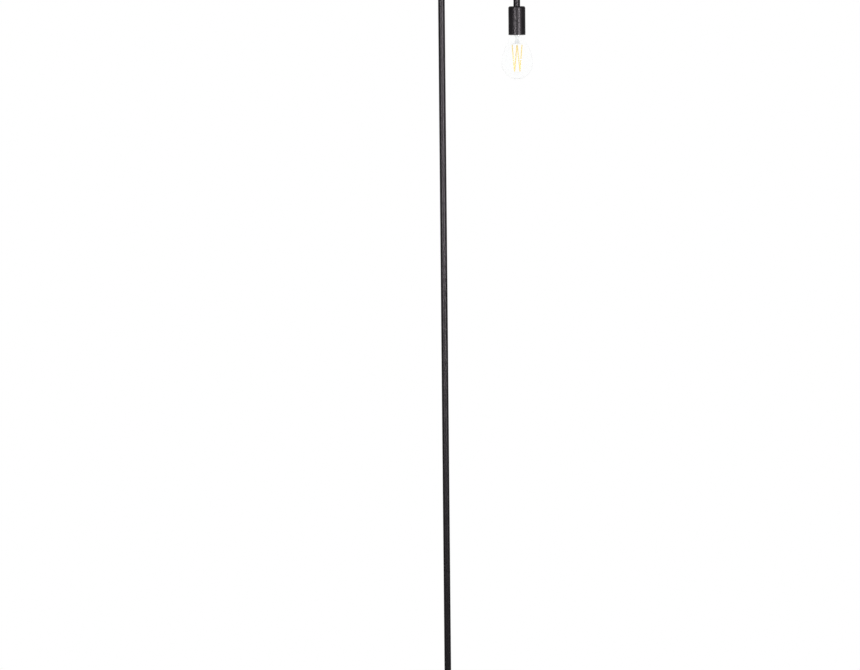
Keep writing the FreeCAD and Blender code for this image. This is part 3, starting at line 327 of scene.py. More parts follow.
looks = {
    "black_coat": {
        # satin powder coat, a warm black with a fine orange peel
        "name": "blackPowderCoat",
        "colour": (0.0120, 0.0104, 0.0122),
        "roughness": 0.39,
        "sockets": {"Specular IOR Level": 0.35, "Specular Tint": (1.0, 0.92, 0.98, 1)},
        "clouds": (22 * mm, 4),
        "dark": (0.0064, 0.0056, 0.0066),
        "light": (0.0120, 0.0104, 0.0122),
        "sheen": (9 * mm, 5),
        "rough": (0.38, 0.40),
        "relief": [((0.9 * mm, 1.5), 0.008 * mm), ((0.28 * mm, 1), 0.004 * mm)],
    },
    "cast_iron": {
        # skin of a sand casting
        "name": "sandCastIron",
        "colour": (0.10, 0.098, 0.095),
        "roughness": 0.72,
        "sockets": {"Metallic": 0.55},
        "clouds": (14 * mm, 6),
        "dark": (0.062, 0.058, 0.055),
        "light": (0.15, 0.145, 0.14),
        "sheen": (3 * mm, 4),
        "rough": (0.6, 0.85),
        "relief": [((1.1 * mm, 4), 0.12 * mm), ((9 * mm, 2), 0.25 * mm)],
    },
    "zinc_steel": {
        # bright zinc: faint bluish and yellowish clouds over a drawn grain
        "name": "zincPlate",
        "colour": (0.60, 0.61, 0.62),
        "roughness": 0.32,
        "sockets": metal,
        "clouds": (6 * mm, 3),
        "dark": (0.55, 0.56, 0.59),
        "light": (0.68, 0.67, 0.63),
        "sheen": (1.5 * mm, 4, (1, 1, 0.25)),
        "rough": (0.24, 0.42),
        "relief": [((0.35 * mm, 2, (1, 1, 0.2)), 0.006 * mm)],
    },
    "foam": {
        # closed cells: small pits, a dull black with painted shade that makes it darker down in
        # each pit
        "name": "padFoam",
        "colour": (0.024, 0.024, 0.025),
        "roughness": 0.95,
        "sockets": {"Specular IOR Level": 0.2},
        "cell": 0.7 * mm,
        "pitShadeFade": (0.1, 0.7),
        "dark": (0.014, 0.014, 0.015),
        "light": (0.036, 0.036, 0.037),
        "pit": 0.12 * mm,
    },
    "black_plastic": plasticLook("blackNylon", (0.022, 0.022, 0.023), 0.48),
    "white_plastic": plasticLook("whiteNylon", (0.80, 0.80, 0.76), 0.38),
    "brass": {
        "name": "drawnBrass",
        "colour": (0.72, 0.53, 0.25),
        "roughness": 0.28,
        "sockets": metal,
        "clouds": (5 * mm, 4),
        "dark": (0.62, 0.43, 0.18),
        "light": (0.80, 0.62, 0.32),
        "sheen": (1.2 * mm, 3),
        "rough": (0.2, 0.38),
        "relief": [((0.4 * mm, 2, (1, 1, 0.3)), 0.006 * mm)],
    },
    "screw_steel": {
        "name": "bareScrewSteel",
        "colour": (0.58, 0.57, 0.56),
        "roughness": 0.26,
        "sockets": metal,
        "clouds": (2 * mm, 3),
        "dark": (0.50, 0.49, 0.48),
        "light": (0.66, 0.65, 0.63),
        "sheen": (0.8 * mm, 3),
        "rough": (0.2, 0.36),
        "relief": [((0.2 * mm, 2), 0.004 * mm)],
    },
    "porcelain": {
        # a white body under a clear glaze that pools a little
        "name": "glazedPorcelain",
        "colour": (0.86, 0.85, 0.81),
        "roughness": 0.24,
        "sockets": {"Coat Weight": 0.7, "Coat Roughness": 0.06},
        "clouds": (4 * mm, 4),
        "dark": (0.80, 0.785, 0.74),
        "light": (0.90, 0.89, 0.86),
        "sheen": (1.5 * mm, 2),
        "rough": (0.18, 0.32),
        "relief": [((3.5 * mm, 1), 0.05 * mm)],
    },
    "sheath": plasticLook("blackSheath", (0.028, 0.028, 0.028), 0.5, 0.8 * mm, 0.02 * mm),
    "core_brown": plasticLook("brownCore", (0.17, 0.065, 0.025), 0.42),
    "core_blue": plasticLook("blueCore", (0.03, 0.14, 0.46), 0.42),
    "core_earth": {
        # green insulation with a yellow stripe that winds along it
        "name": "greenYellowCore",
        "colour": (0.10, 0.38, 0.05),
        "roughness": 0.45,
        "stripes": 90,
        "stripeFade": (0.48, 0.52),
        "dark": (0.05, 0.27, 0.04),
        "light": (0.82, 0.66, 0.03),
        "relief": [((0.6 * mm, 2), 0.01 * mm)],
    },
    "nickel_shell": {
        # thin nickel plate, polished by the press and dulled by handling
        "name": "nickelCap",
        "colour": (0.70, 0.67, 0.61),
        "roughness": 0.22,
        "sockets": metal,
        "clouds": (7 * mm, 4),
        "dark": (0.62, 0.59, 0.53),
        "light": (0.76, 0.73, 0.68),
        "sheen": (2.2 * mm, 4, (1, 1, 3)),
        "rough": (0.15, 0.34),
        "relief": [((0.6 * mm, 2, (1, 1, 4)), 0.008 * mm)],
    },
    "cap_glass": plasticLook("blackCapGlass", (0.012, 0.012, 0.014), 0.12, 1.2 * mm, 0.02 * mm),
    "solder": {
        "name": "meltedTin",
        "colour": (0.62, 0.62, 0.63),
        "roughness": 0.36,
        "sockets": metal,
        "clouds": (1.6 * mm, 3),
        "dark": (0.52, 0.52, 0.53),
        "light": (0.70, 0.70, 0.71),
        "sheen": (0.9 * mm, 3),
        "rough": (0.28, 0.5),
        "relief": [((1.4 * mm, 2), 0.08 * mm)],
    },
    "board": {
        "name": "whiteBoard",
        "colour": (0.78, 0.78, 0.73),
        "roughness": 0.35,
        "tracks": 420,
        "lands": ((0.80, 0.80, 0.75, 1), (0.77, 0.77, 0.72, 1)),
        "gaps": (0.66, 0.67, 0.60, 1),
        "step": 0.03 * mm,
    },
    "components": plasticLook("mouldedParts", (0.03, 0.03, 0.034), 0.3),
    "clear_glass": {
        # blown glass, with the faint waviness of the mould
        "name": "clearGlass",
        "colour": (0.995, 0.997, 0.997),
        "roughness": 0.0,
        "sockets": blownGlass,
        "relief": [((14 * mm, 1), 0.02 * mm)],
    },
    "stem_glass": {
        # a clear tube; the press at its lower end is greyer, with fine drawn streaks
        "name": "stemGlass",
        "colour": (0.97, 0.98, 0.98),
        "roughness": 0.0,
        "sockets": blownGlass,
        "clouds": (1.5 * mm, 3, (1, 1, 0.25)),
        "dark": (0.72, 0.74, 0.76),
        "light": (0.88, 0.89, 0.90),
        "clearFade": (1310.6 * mm, 1312.4 * mm),
        "relief": [((1.2 * mm, 1, (1, 1, 0.3)), 0.02 * mm)],
    },
    "lead_wire": {
        "name": "leadWire",
        "colour": (0.74, 0.73, 0.71),
        "roughness": 0.34,
        "sockets": metal,
        "clouds": (1.2 * mm, 2),
        "dark": (0.68, 0.67, 0.65),
        "light": (0.80, 0.79, 0.77),
        "sheen": (0.5 * mm, 2),
        "rough": (0.26, 0.44),
        "relief": [((0.15 * mm, 2), 0.01 * mm)],
    },
    "filament": {
        # silicone full of phosphor powder, yellow because it takes up blue; the rods also carry a
        # painted glow, though the bulb is not lit
        "name": "yellowPhosphor",
        "colour": (0.97, 0.78, 0.34),
        "roughness": 0.55,
        "sockets": {
            "Specular IOR Level": 0.3,
            # painted glow: the rods give off a little yellow light of their own, which lifts them
            # brighter than the room lights them
            "Emission Color": (1.0, 0.74, 0.16, 1),
            "Emission Strength": 0.17,
        },
        "clouds": (0.5 * mm, 3),
        "dark": (0.95, 0.73, 0.28),
        "light": (0.97, 0.78, 0.34),
        "sheen": (0.8 * mm, 2),
        "rough": (0.45, 0.65),
        "relief": [((0.45 * mm, 2), 0.03 * mm)],
    },
}


def plainFinish(look):
    sockets = look.get("sockets", {})
    material = newMaterial(look["name"], look["colour"], look["roughness"], sockets)
    tree = material.node_tree
    if "clouds" in look:
        clouds = spread(tree, noiseOn(tree, *look["clouds"]), 0, 1)
        varyColour(material, clouds, look["dark"], look["light"])
    if "sheen" in look:
        varyRoughness(material, noiseOn(tree, *look["sheen"]), *look["rough"])
    for noise, height in look.get("relief", []):
        raiseBump(material, noiseOn(tree, *noise), height)
    return material


def foamFinish(look):
    material = plainFinish(look)
    tree = material.node_tree
    cells = tree.nodes.new("ShaderNodeTexVoronoi")
    cells.inputs["Scale"].default_value = 1 / look["cell"]
    tree.links.new(objectPlace(tree), cells.inputs["Vector"])
    depth = cells.outputs["Distance"]
    # painted shade: the colour is darker down in each pit, where the bump is lowest
    varyColour(material, spread(tree, depth, 0, 1, *look["pitShadeFade"]), look["dark"], look["light"])
    raiseBump(material, depth, look["pit"])
    return material


def stripedFinish(look):
    material = plainFinish(look)
    tree = material.node_tree
    stripes = tree.nodes.new("ShaderNodeTexWave")
    stripes.wave_type = "BANDS"
    stripes.bands_direction = "DIAGONAL"
    stripes.inputs["Scale"].default_value = look["stripes"]
    tree.links.new(objectPlace(tree), stripes.inputs["Vector"])
    share = spread(tree, stripes.outputs["Fac"], 0, 1, *look["stripeFade"])
    varyColour(material, share, look["dark"], look["light"])
    return material


def boardFinish(look):
    material = plainFinish(look)
    tree = material.node_tree
    tracks = tree.nodes.new("ShaderNodeTexBrick")
    tracks.inputs["Scale"].default_value = look["tracks"]
    tracks.inputs["Color1"].default_value, tracks.inputs["Color2"].default_value = look["lands"]
    tracks.inputs["Mortar"].default_value = look["gaps"]
    tree.links.new(objectPlace(tree), tracks.inputs["Vector"])
    tree.links.new(tracks.outputs["Color"], tree.nodes["Principled BSDF"].inputs["Base Color"])
    raiseBump(material, tracks.outputs["Fac"], look["step"])
    return material


def stemFinish(look):
    material = plainFinish(look)
    tree = material.node_tree
    colour = tree.nodes["Principled BSDF"].inputs["Base Color"]
    parts = tree.nodes.new("ShaderNodeSeparateXYZ")
    tree.links.new(objectPlace(tree), parts.inputs[0])
    above = spread(tree, parts.outputs["Z"], 0, 1, *look["clearFade"])
    tint = mixColours(tree, above, colour.links[0].from_socket, (*look["colour"], 1))
    tree.links.new(tint, colour)
    return material


patterned = {
    "foam": foamFinish,
    "core_earth": stripedFinish,
    "board": boardFinish,
    "stem_glass": stemFinish,
}
finishes = {slot: patterned.get(slot, plainFinish)(look) for slot, look in looks.items()}

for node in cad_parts.values():
    for slot in node.material_slots:
        slotName = slot.material.name.split(".")[0]
        slot.link = "DATA"
        slot.material = finishes[slotName]
print("materials:", len(finishes))

# shapes shared by several pieces

onAxis = 1e-6  # a point nearer to the axis than this, in mm, lies on it
crispFrom = 35  # degrees; an edge that turns by more than this stays crisp


def arcPoints(centre, radius, start, end, steps):
    # radius and height pairs along an arc, angles in degrees
    points = []
    for i in range(steps + 1):
        angle = math.radians(start + (end - start) * i / steps)
        points.append((centre[0] + radius * math.cos(angle), centre[1] + radius * math.sin(angle)))
    return points


def circlePoints(x, y, radius, count):
    angles = [math.tau * i / count for i in range(count)]
    return [(x + radius * math.cos(angle), y + radius * math.sin(angle)) for angle in angles]


def smoothShade(mesh, sharpAngle=crispFrom):
    mesh.shade_smooth()
    mesh.set_sharp_from_angle(angle=math.radians(sharpAngle))


def dressMesh(name, mesh, finish, sharpAngle=crispFrom):
    mesh.name = name
    mesh.materials.clear()
    mesh.materials.append(finishes[finish])
    smoothShade(mesh, sharpAngle)
    piece = bpy.data.objects.new(name, mesh)
    scene.collection.objects.link(piece)
    return piece


def skinRings(name, rings, closed, finish, sharpAngle=crispFrom):
    # joins each ring of points to the next; a ring of one point is a pole
    shape = bmesh.new()
    made = [[shape.verts.new(point) for point in ring] for ring in rings]
    following = made[1:] + (made[:1] if closed else [])
    for low, high in zip(made, following):
        count = max(len(low), len(high))
        for i in range(count):
            j = (i + 1) % count
            corners = [low[i % len(low)], low[j % len(low)]]
            corners += [high[j % len(high)], high[i % len(high)]]
            corners = list(dict.fromkeys(corners))
            if len(corners) > 2:
                shape.faces.new(corners)
    bmesh.ops.recalc_face_normals(shape, faces=shape.faces)
    mesh = bpy.data.meshes.new(name)
    shape.to_mesh(mesh)
    shape.free()
    return dressMesh(name, mesh, finish, sharpAngle)


def withHoldingRings(outline, closed, gap=0.12):
    # a ring close to each end of a run longer than ten gaps keeps its shading straight
    points = []
    following = outline[1:] + (outline[:1] if closed else [])
    for (r, h), (nextR, nextH) in zip(outline, following):
        length = math.hypot(nextR - r, nextH - h)
        points.append((r, h))
        if length > 10 * gap:
            for share in (gap / length, 1 - gap / length):
                points.append((r + (nextR - r) * share, h + (nextH - h) * share))
    return points if closed else points + [outline[-1]]


def lathe(name, axis, outline, facets, finish, sharpAngle=crispFrom):
    # outline is radius and height in mm; it ends on the axis, or runs round to its start
    closed = outline[0][0] > onAxis
    rings = []
    for radius, height in withHoldingRings(outline, closed):
        count = facets if radius > onAxis else 1
        rings.append([Vector((x, y, height)) * mm for x, y in circlePoints(axis, 0, radius, count)])
    return skinRings(name, rings, closed, finish, sharpAngle)


def evaluatedMesh(piece):
    bpy.context.view_layer.update()
    graph = bpy.context.evaluated_depsgraph_get()
    return bpy.data.meshes.new_from_object(piece.evaluated_get(graph))


def settle(piece):
    # works the piece's modifiers into its mesh
    solid = evaluatedMesh(piece)
    piece.modifiers.clear()
    piece.data = solid


def meshOfCurve(curve):
    drawing = bpy.data.objects.new(curve.name + "Drawing", curve)
    scene.collection.objects.link(drawing)
    mesh = evaluatedMesh(drawing)
    bpy.data.objects.remove(drawing)
    return mesh


def cutAway(piece, tool):
    cut = piece.modifiers.new("cut", "BOOLEAN")
    cut.operation = "DIFFERENCE"
    cut.solver = "EXACT"
    cut.object = tool
    settle(piece)
    bpy.data.objects.remove(tool)


def standsFor(piece, body, slot, *nodes):
    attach(piece, body)
    if nodes:
        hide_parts(*nodes)
    print(piece.name, len(piece.data.polygons), "faces")


# small wrapper for building a Geometry Nodes tree from plain calls
class NodeBench:
    def __init__(self, name):
        self.tree = bpy.data.node_groups.new(name, "GeometryNodeTree")
        self.sockets = {}
        self.entry = self.tree.nodes.new("NodeGroupInput")
        self.exit = self.tree.nodes.new("NodeGroupOutput")
        for way in ("INPUT", "OUTPUT"):
            self.tree.interface.new_socket("Geometry", in_out=way, socket_type="NodeSocketGeometry")

    def socket(self, name, kind="Float"):
        made = self.tree.interface.new_socket(name, in_out="INPUT", socket_type="NodeSocket" + kind)
        self.sockets[name] = made.identifier
        return self.entry.outputs[name]

    def add(self, kind, links, output=0, **settings):
        node = self.tree.nodes.new(kind)
        for key, value in settings.items():
            setattr(node, key, value)
        for key, value in links.items():
            feed(self.tree, value, node.inputs[key])
        return node.outputs[output]

    def math(self, operation, *values):
        return self.add("ShaderNodeMath", dict(enumerate(values)), operation=operation)

    def between(self, value, low, high):
        return self.add("ShaderNodeClamp", {"Value": value, "Min": low, "Max": high})

    def end(self, geometry, material):
        whole = self.add("GeometryNodeRealizeInstances", {"Geometry": geometry})
        dressed = self.add("GeometryNodeSetMaterial", {"Geometry": whole, "Material": material})
        self.tree.links.new(dressed, self.exit.inputs[0])


def grown(name, bench, values, finish, sharpAngle=crispFrom, start=None):
    # runs the tree with these inputs and keeps the result as one plain mesh
    seed = bpy.data.objects.new(name + "Start", start or bpy.data.meshes.new(name + "Start"))
    scene.collection.objects.link(seed)
    modifier = seed.modifiers.new("nodes", "NODES")
    modifier.node_group = bench.tree
    for socketName, value in values.items():
        modifier[bench.sockets[socketName]] = value
    settle(seed)
    mesh = seed.data
    bpy.data.objects.remove(seed)
    return dressMesh(name, mesh, finish, sharpAngle)


# pole: one straight tube, and one that is bent over into the crook

poleTube = {
    "radius": 6.5 * mm,
    "wall": 0.8 * mm,
    "rim": 0.3 * mm,  # the rounded edge at each end, which draws the joint line
    "rimSteps": 3,
    "rimAngle": 50,
    "sharpAngle": 40,
    "endMargin": 1.0 * mm,
    "facets": 64,
    "footHeight": 31 * mm,
    "jointHeight": 755 * mm,
    "springHeight": 1420.5 * mm,
    "bendRadius": 73 * mm,
    "stemDrop": 43 * mm,
    "bendSteps": 96,
}


def tubeRunTree():
    bench = NodeBench("tubeRun")
    foot = bench.socket("Foot Height")
    spring = bench.socket("Spring Height")
    bend = bench.socket("Bend Radius")
    drop = bench.socket("Stem Drop")
    radius = bench.socket("Tube Radius")
    margin = bench.socket("End Margin")
    facets = bench.socket("Facets", "Int")
    steps = bench.socket("Bend Steps", "Int")
    finish = bench.socket("Finish", "Material")
    # points: foot, margin, the bend with a margin before and after it, margin, the stem's end
    beforeBend, besideBend = 3.0, 7.0
    line = bench.add("GeometryNodeMeshLine", {"Count": bench.math("ADD", steps, besideBend)})
    index = bench.add("GeometryNodeInputIndex", {})

    def passed(count):
        # 0 up to this point of the line, 1 after it
        return bench.between(bench.math("SUBTRACT", index, count), 0.0, 1.0)

    rise = bench.math("SUBTRACT", spring, foot)
    up = bench.math("MULTIPLY", passed(0.0), margin)
    longRun = bench.math("MULTIPLY_ADD", margin, -2.0, rise)
    up = bench.math("MULTIPLY_ADD", passed(1.0), longRun, up)
    up = bench.math("MULTIPLY_ADD", passed(2.0), margin, up)
    intoBend = bench.between(bench.math("SUBTRACT", index, beforeBend), 0.0, steps)
    turn = bench.math("MULTIPLY", bench.math("DIVIDE", intoBend, steps), math.pi)
    bendEnd = bench.math("ADD", steps, beforeBend)
    down = bench.math("MULTIPLY", passed(bendEnd), margin)
    lastRun = bench.math("MAXIMUM", bench.math("MULTIPLY_ADD", margin, -2.0, drop), 0.0)
    down = bench.math("MULTIPLY_ADD", passed(bench.math("ADD", bendEnd, 1.0)), lastRun, down)
    down = bench.math("MULTIPLY_ADD", passed(bench.math("ADD", bendEnd, 2.0)), margin, down)
    down = bench.math("MINIMUM", down, drop)
    inward = bench.math("SUBTRACT", 1.0, bench.math("COSINE", turn))
    across = bench.math("MULTIPLY", bend, inward)
    start = bench.math("ADD", foot, up)
    height = bench.math("MULTIPLY_ADD", bend, bench.math("SINE", turn), start)
    height = bench.math("SUBTRACT", height, down)
    place = bench.add("ShaderNodeCombineXYZ", {"X": across, "Z": height})
    route = bench.add("GeometryNodeSetPosition", {"Geometry": line, "Position": place})
    # a straight tube has a bend of no size, whose points become one
    route = bench.add("GeometryNodeMergeByDistance", {"Geometry": route, "Distance": 1e-6})
    route = bench.add("GeometryNodeMeshToCurve", {"Mesh": route})
    ring = {"Resolution": facets, "Radius": radius}
    ring = bench.add("GeometryNodeCurvePrimitiveCircle", ring)
    tube = bench.add("GeometryNodeCurveToMesh", {"Curve": route, "Profile Curve": ring})
    bench.end(tube, finish)
    return bench


def addTubeWall(piece):
    wall = piece.modifiers.new("wall", "SOLIDIFY")
    wall.thickness = poleTube["wall"]
    wall.offset = -1
    rim = piece.modifiers.new("rim", "BEVEL")
    rim.width = poleTube["rim"]
    rim.segments = poleTube["rimSteps"]
    rim.limit_method = "ANGLE"
    rim.angle_limit = math.radians(poleTube["rimAngle"])
    settle(piece)
    smoothShade(piece.data, poleTube["sharpAngle"])


def buildPole():
    s = SimpleNamespace(**poleTube)
    bench = tubeRunTree()
    runs = {
        # piece: node, foot, spring, bend radius, stem drop, bend steps
        "poleLower": ("pole_lower", s.footHeight, s.jointHeight, 0.0, 0.0, 1),
        "poleUpper": (
            "pole_upper", s.jointHeight, s.springHeight, s.bendRadius, s.stemDrop, s.bendSteps,
        ),
    }
    for name, (node, foot, spring, bend, drop, steps) in runs.items():
        values = {
            "Foot Height": foot,
            "Spring Height": spring,
            "Bend Radius": bend,
            "Stem Drop": drop,
            "Tube Radius": s.radius,
            "End Margin": s.endMargin,
            "Facets": s.facets,
            "Bend Steps": steps,
            "Finish": finishes["black_coat"],
        }
        tube = grown(name, bench, values, "black_coat")
        addTubeWall(tube)
        standsFor(tube, "lamp", "black_coat", node)


buildPole()

# base, sizes in mm

pressedCup = {
    # shared by the covers of base and holder
    "deburr": 0.15,
    "rollSteps": 8,
    "edgeSteps": 12,
}


def cupOutline(shell):
    # a pressed cup seen in section: outside up over the shoulder to the hole, then back inside
    s = SimpleNamespace(**shell, **pressedCup)
    roll, inner = s.wall / 2, s.edge - s.wall
    points = arcPoints((s.radius - roll, s.bottom + roll), roll, -180, 0, s.rollSteps)
    points += arcPoints((s.radius - s.edge, s.top - s.edge), s.edge, 0, 90, s.edgeSteps)
    points += [(s.hole + s.deburr, s.top), (s.hole, s.top - s.deburr), (s.hole, s.top - s.wall)]
    centre = (s.radius - s.wall - inner, s.top - s.wall - inner)
    return points + arcPoints(centre, inner, 90, 0, s.edgeSteps)


baseShell = {
    "radius": 125,
    "bottom": 2.0,
    "top": 25,
    "wall": 1.2,
    "edge": 6,
    "hole": 5.2,
    "facets": 192,
    "inletHeight": 12.5,
    "inlet": 5.2,
    "drillFrom": 100,
    "drillTo": 140,
    "drillFacets": 48,
}


def turnToInlet(piece):
    # from upright to the axis of the cord inlet, which points out of the rim
    piece.data.transform(Matrix.Rotation(math.radians(-90), 4, "Y"))
    piece.data.transform(Matrix.Translation((0, 0, baseShell["inletHeight"] * mm)))


def buildBaseCover():
    s = SimpleNamespace(**baseShell)
    cover = lathe("baseCover", 0, cupOutline(baseShell), s.facets, "black_coat")
    bit = [(0, s.drillFrom), (s.inlet, s.drillFrom), (s.inlet, s.drillTo), (0, s.drillTo)]
    drill = lathe("drill", 0, bit, s.drillFacets, "black_coat")
    turnToInlet(drill)
    cutAway(cover, drill)
    smoothShade(cover.data)
    standsFor(cover, "lamp", "black_coat", "base_cover")


footCollar = {
    "radius": 14,
    "bottom": 25,
    "top": 33,
    "edge": 2,
    "seat": 6.6,
    "seatHeight": 31,
    "bore": 5.2,
    "deburr": 0.2,
    "edgeSteps": 10,
    "facets": 96,
}


def buildFootCollar():
    s = SimpleNamespace(**footCollar)
    outline = [(s.bore, s.bottom), (s.radius - s.deburr, s.bottom), (s.radius, s.bottom + s.deburr)]
    outline += arcPoints((s.radius - s.edge, s.top - s.edge), s.edge, 0, 90, s.edgeSteps)
    outline += [(s.seat + s.deburr, s.top), (s.seat, s.top - s.deburr)]
    outline += [(s.seat, s.seatHeight), (s.bore, s.seatHeight)]
    collar = lathe("footCollar", 0, outline, s.facets, "black_coat")
    standsFor(collar, "lamp", "black_coat", "foot_collar")


cordInlet = {
    "bore": 3.6,
    "neck": 5.0,
    "barb": 5.6,
    "barbStart": 2.5,  # how deep inside the rim the barb starts, and where it ends
    "barbEnd": 1.5,
    "flange": 6.5,
    "flangeEdge": 0.1,
    "face": 126.5,
    "tail": 119.5,
    "rim": 125,
    "mouth": 0.3,
    "deburr": 0.2,
    "outerLip": 0.8,
    "innerLip": 0.7,
    "lipSteps": 6,
    "facets": 64,
}


def buildCordInlet():
    # drawn upright from its tail inside the base to its face, then turned to point out of the rim
    s = SimpleNamespace(**cordInlet)
    barbStart, barbEnd = s.rim - s.barbStart, s.rim - s.barbEnd
    outline = [(s.bore + s.mouth, s.tail), (s.neck - s.deburr, s.tail), (s.neck, s.tail + s.deburr)]
    outline += [(s.barb, barbStart), (s.barb, barbEnd), (s.neck, barbEnd), (s.neck, s.rim)]
    outline += [(s.flange - s.flangeEdge, s.rim), (s.flange, s.rim + s.flangeEdge)]
    outer, inner = s.outerLip, s.innerLip
    outline += arcPoints((s.flange - outer, s.face - outer), outer, 0, 90, s.lipSteps)
    outline += arcPoints((s.bore + inner, s.face - inner), inner, 90, 180, s.lipSteps)
    outline += [(s.bore, s.tail + s.mouth)]
    grommet = lathe("cordGrommet", 0, outline, s.facets, "black_plastic")
    turnToInlet(grommet)
    standsFor(grommet, "lamp", "black_plastic", "cord_grommet")


floorPad = {
    "radius": 119,
    "thickness": 2.0,
    "edge": 0.4,
    "edgeSteps": 3,
    "facets": 160,
    "hole": 5.0,
    "holeCircle": 84,
    "holeCount": 3,
    "holeFacets": 40,
}


def buildFloorPad():
    # die-cut foam: a filled outline with three holes, its edges slightly crushed
    s = SimpleNamespace(**floorPad)
    outline = bpy.data.curves.new("floorPad", "CURVE")
    outline.dimensions = "2D"
    outline.fill_mode = "BOTH"
    outline.extrude = (s.thickness / 2 - s.edge) * mm
    outline.bevel_depth = s.edge * mm
    outline.bevel_resolution = s.edgeSteps
    outline.offset = -s.edge * mm
    circles = [circlePoints(0, 0, s.radius, s.facets)]
    for x, y in circlePoints(0, 0, s.holeCircle, s.holeCount):
        circles.append(circlePoints(x, y, s.hole, s.holeFacets))
    for circle in circles:
        spline = outline.splines.new("POLY")
        spline.points.add(len(circle) - 1)
        spline.use_cyclic_u = True
        for point, (x, y) in zip(spline.points, circle):
            point.co = (x * mm, y * mm, 0, 1)
    mesh = meshOfCurve(outline)
    mesh.transform(Matrix.Translation((0, 0, s.thickness / 2 * mm)))
    pad = dressMesh("floorPad", mesh, "foam", sharpAngle=30)
    standsFor(pad, "lamp", "foam", "floor_pad")


plateScrews = {
    "count": 3,
    "circle": 84,
    "seat": 2.0,
    "shank": 2.0,
    "length": 9.0,
    "head": 3.5,
    "headHeight": 1.6,
    "headRound": 1.1,
    "headSteps": 6,
    "headEdge": 0.1,
    "turns": 14,
    "threadStart": 0.6,
    "threadRunOut": 1.6,
    "threadDepth": 0.28,
    "tip": 0.9,
    "tipInset": 0.2,
    "slotReach": 2.1,
    "slotHalf": 0.42,
    "slotDepth": 1.0,
    "slotLead": 1.0,  # the bar that cuts it starts this far outside the head
    "facets": 32,
}


def plateScrewTree():
    bench = NodeBench("screwCircle")
    circle = bench.socket("Circle Radius")
    count = bench.socket("Screws", "Int")
    seat = bench.socket("Seat Height")
    screw = bench.socket("Screw", "Object")
    finish = bench.socket("Finish", "Material")
    ring = bench.add("GeometryNodeMeshCircle", {"Vertices": count, "Radius": circle})
    lift = bench.add("ShaderNodeCombineXYZ", {"Z": seat})
    ring = bench.add("GeometryNodeTransform", {"Geometry": ring, "Translation": lift})
    info = bench.add("GeometryNodeObjectInfo", {"Object": screw}, output="Geometry")
    turns = bench.add("FunctionNodeRandomValue", {2: 0.0, 3: math.pi, "Seed": 7}, output=1)
    angle = bench.add("ShaderNodeCombineXYZ", {"Z": turns})
    placed = {"Points": ring, "Instance": info, "Rotation": angle}
    bench.end(bench.add("GeometryNodeInstanceOnPoints", placed), finish)
    return bench


def slotTool(low, turn):
    # a bar that cuts one slot of the cross into the head's face
    s = SimpleNamespace(**plateScrews)
    reach, half = s.slotReach * mm, s.slotHalf * mm
    levels = (low * mm - s.slotLead * mm, low * mm + s.slotDepth * mm)
    corners = [(x * reach, y * half, z) for z in levels for x, y in squareCorners]
    sides = [(3, 2, 1, 0), (4, 5, 6, 7), (0, 1, 5, 4), (1, 2, 6, 5), (2, 3, 7, 6), (3, 0, 4, 7)]
    bar = bpy.data.meshes.new("slot")
    bar.from_pydata(corners, [], sides)
    bar.transform(Matrix.Rotation(math.radians(turn), 4, "Z"))
    tool = bpy.data.objects.new("slot", bar)
    scene.collection.objects.link(tool)
    return tool


def buildPlateScrews():
    s = SimpleNamespace(**plateScrews)
    low = -s.headHeight
    outline = [(0, low)]
    centre = (s.head - s.headRound, low + s.headRound)
    outline += arcPoints(centre, s.headRound, -90, 0, s.headSteps)
    outline += [(s.head, -s.headEdge), (s.head - s.headEdge, 0), (s.shank, 0)]
    pitch = (s.length - s.threadRunOut) / s.turns
    for i in range(s.turns):
        height = s.threadStart + pitch * i
        outline += [(s.shank, height), (s.shank - s.threadDepth, height + pitch / 2)]
    outline += [(s.shank - s.tipInset, s.length - s.tip), (s.shank / 2, s.length), (0, s.length)]
    screw = lathe("plateScrew", 0, outline, s.facets, "zinc_steel", sharpAngle=30)
    for turn in (0, 90):
        cutAway(screw, slotTool(low, turn))
    values = {
        "Circle Radius": s.circle * mm,
        "Screws": s.count,
        "Seat Height": s.seat * mm,
        "Screw": screw,
        "Finish": finishes["zinc_steel"],
    }
    screws = grown("plateScrews", plateScrewTree(), values, "zinc_steel", sharpAngle=30)
    bpy.data.objects.remove(screw)
    standsFor(screws, "lamp", "zinc_steel", "plate_screws")


buildBaseCover()
buildFootCollar()
buildCordInlet()
buildFloorPad()
buildPlateScrews()
print("base built")

# lamp holder, sizes in mm

holderShell = {
    "axis": 146,
    "radius": 16.5,
    "wall": 0.8,
    "edge": 3.5,
    "hole": 5.2,
    "bottom": 1322.0,
    "top": 1377.5,
    "facets": 96,
}


def buildHolderCover():
    s = SimpleNamespace(**holderShell)
    cover = lathe("holderCover", s.axis, cupOutline(holderShell), s.facets, "black_coat")
    standsFor(cover, "lamp", "black_coat", "holder_cover")


buildHolderCover()
print("holder built")

# bulb, sizes in mm

bulbGlass = {
    "axis": 146,
    "wall": 0.8,
    "centreHeight": 1266.5,
    "sphere": 30,
    "sphereSteps": 30,
    "shoulder": 74,
    "shoulderAngle": 30,
    "neckCurve": 81.4,
    "neckCentre": (90.580, 1344.2),
    "neckAngle": 196.19,
    "curveSteps": 12,
    "top": 1325,
    "facets": 96,
}


def buildGlass():
    s = SimpleNamespace(**bulbGlass)
    outline = []
    for inset in (0, s.wall):
        wall = arcPoints((0, s.centreHeight), s.sphere - inset, -90, 0, s.sphereSteps)
        wall[0] = (0, wall[0][1])
        centre = (s.sphere - s.shoulder, s.centreHeight)
        radius = s.shoulder - inset
        wall += arcPoints(centre, radius, 0, s.shoulderAngle, s.curveSteps)[1:]
        start, radius = 180 + s.shoulderAngle, s.neckCurve + inset
        wall += arcPoints(s.neckCentre, radius, start, s.neckAngle, s.curveSteps)[1:]
        wall += [(wall[-1][0], s.top)]
        outline += wall if inset == 0 else wall[::-1]
    glass = lathe("glassBulb", s.axis, outline, s.facets, "clear_glass")
    standsFor(glass, "bulb", "clear_glass", "glass_bulb")


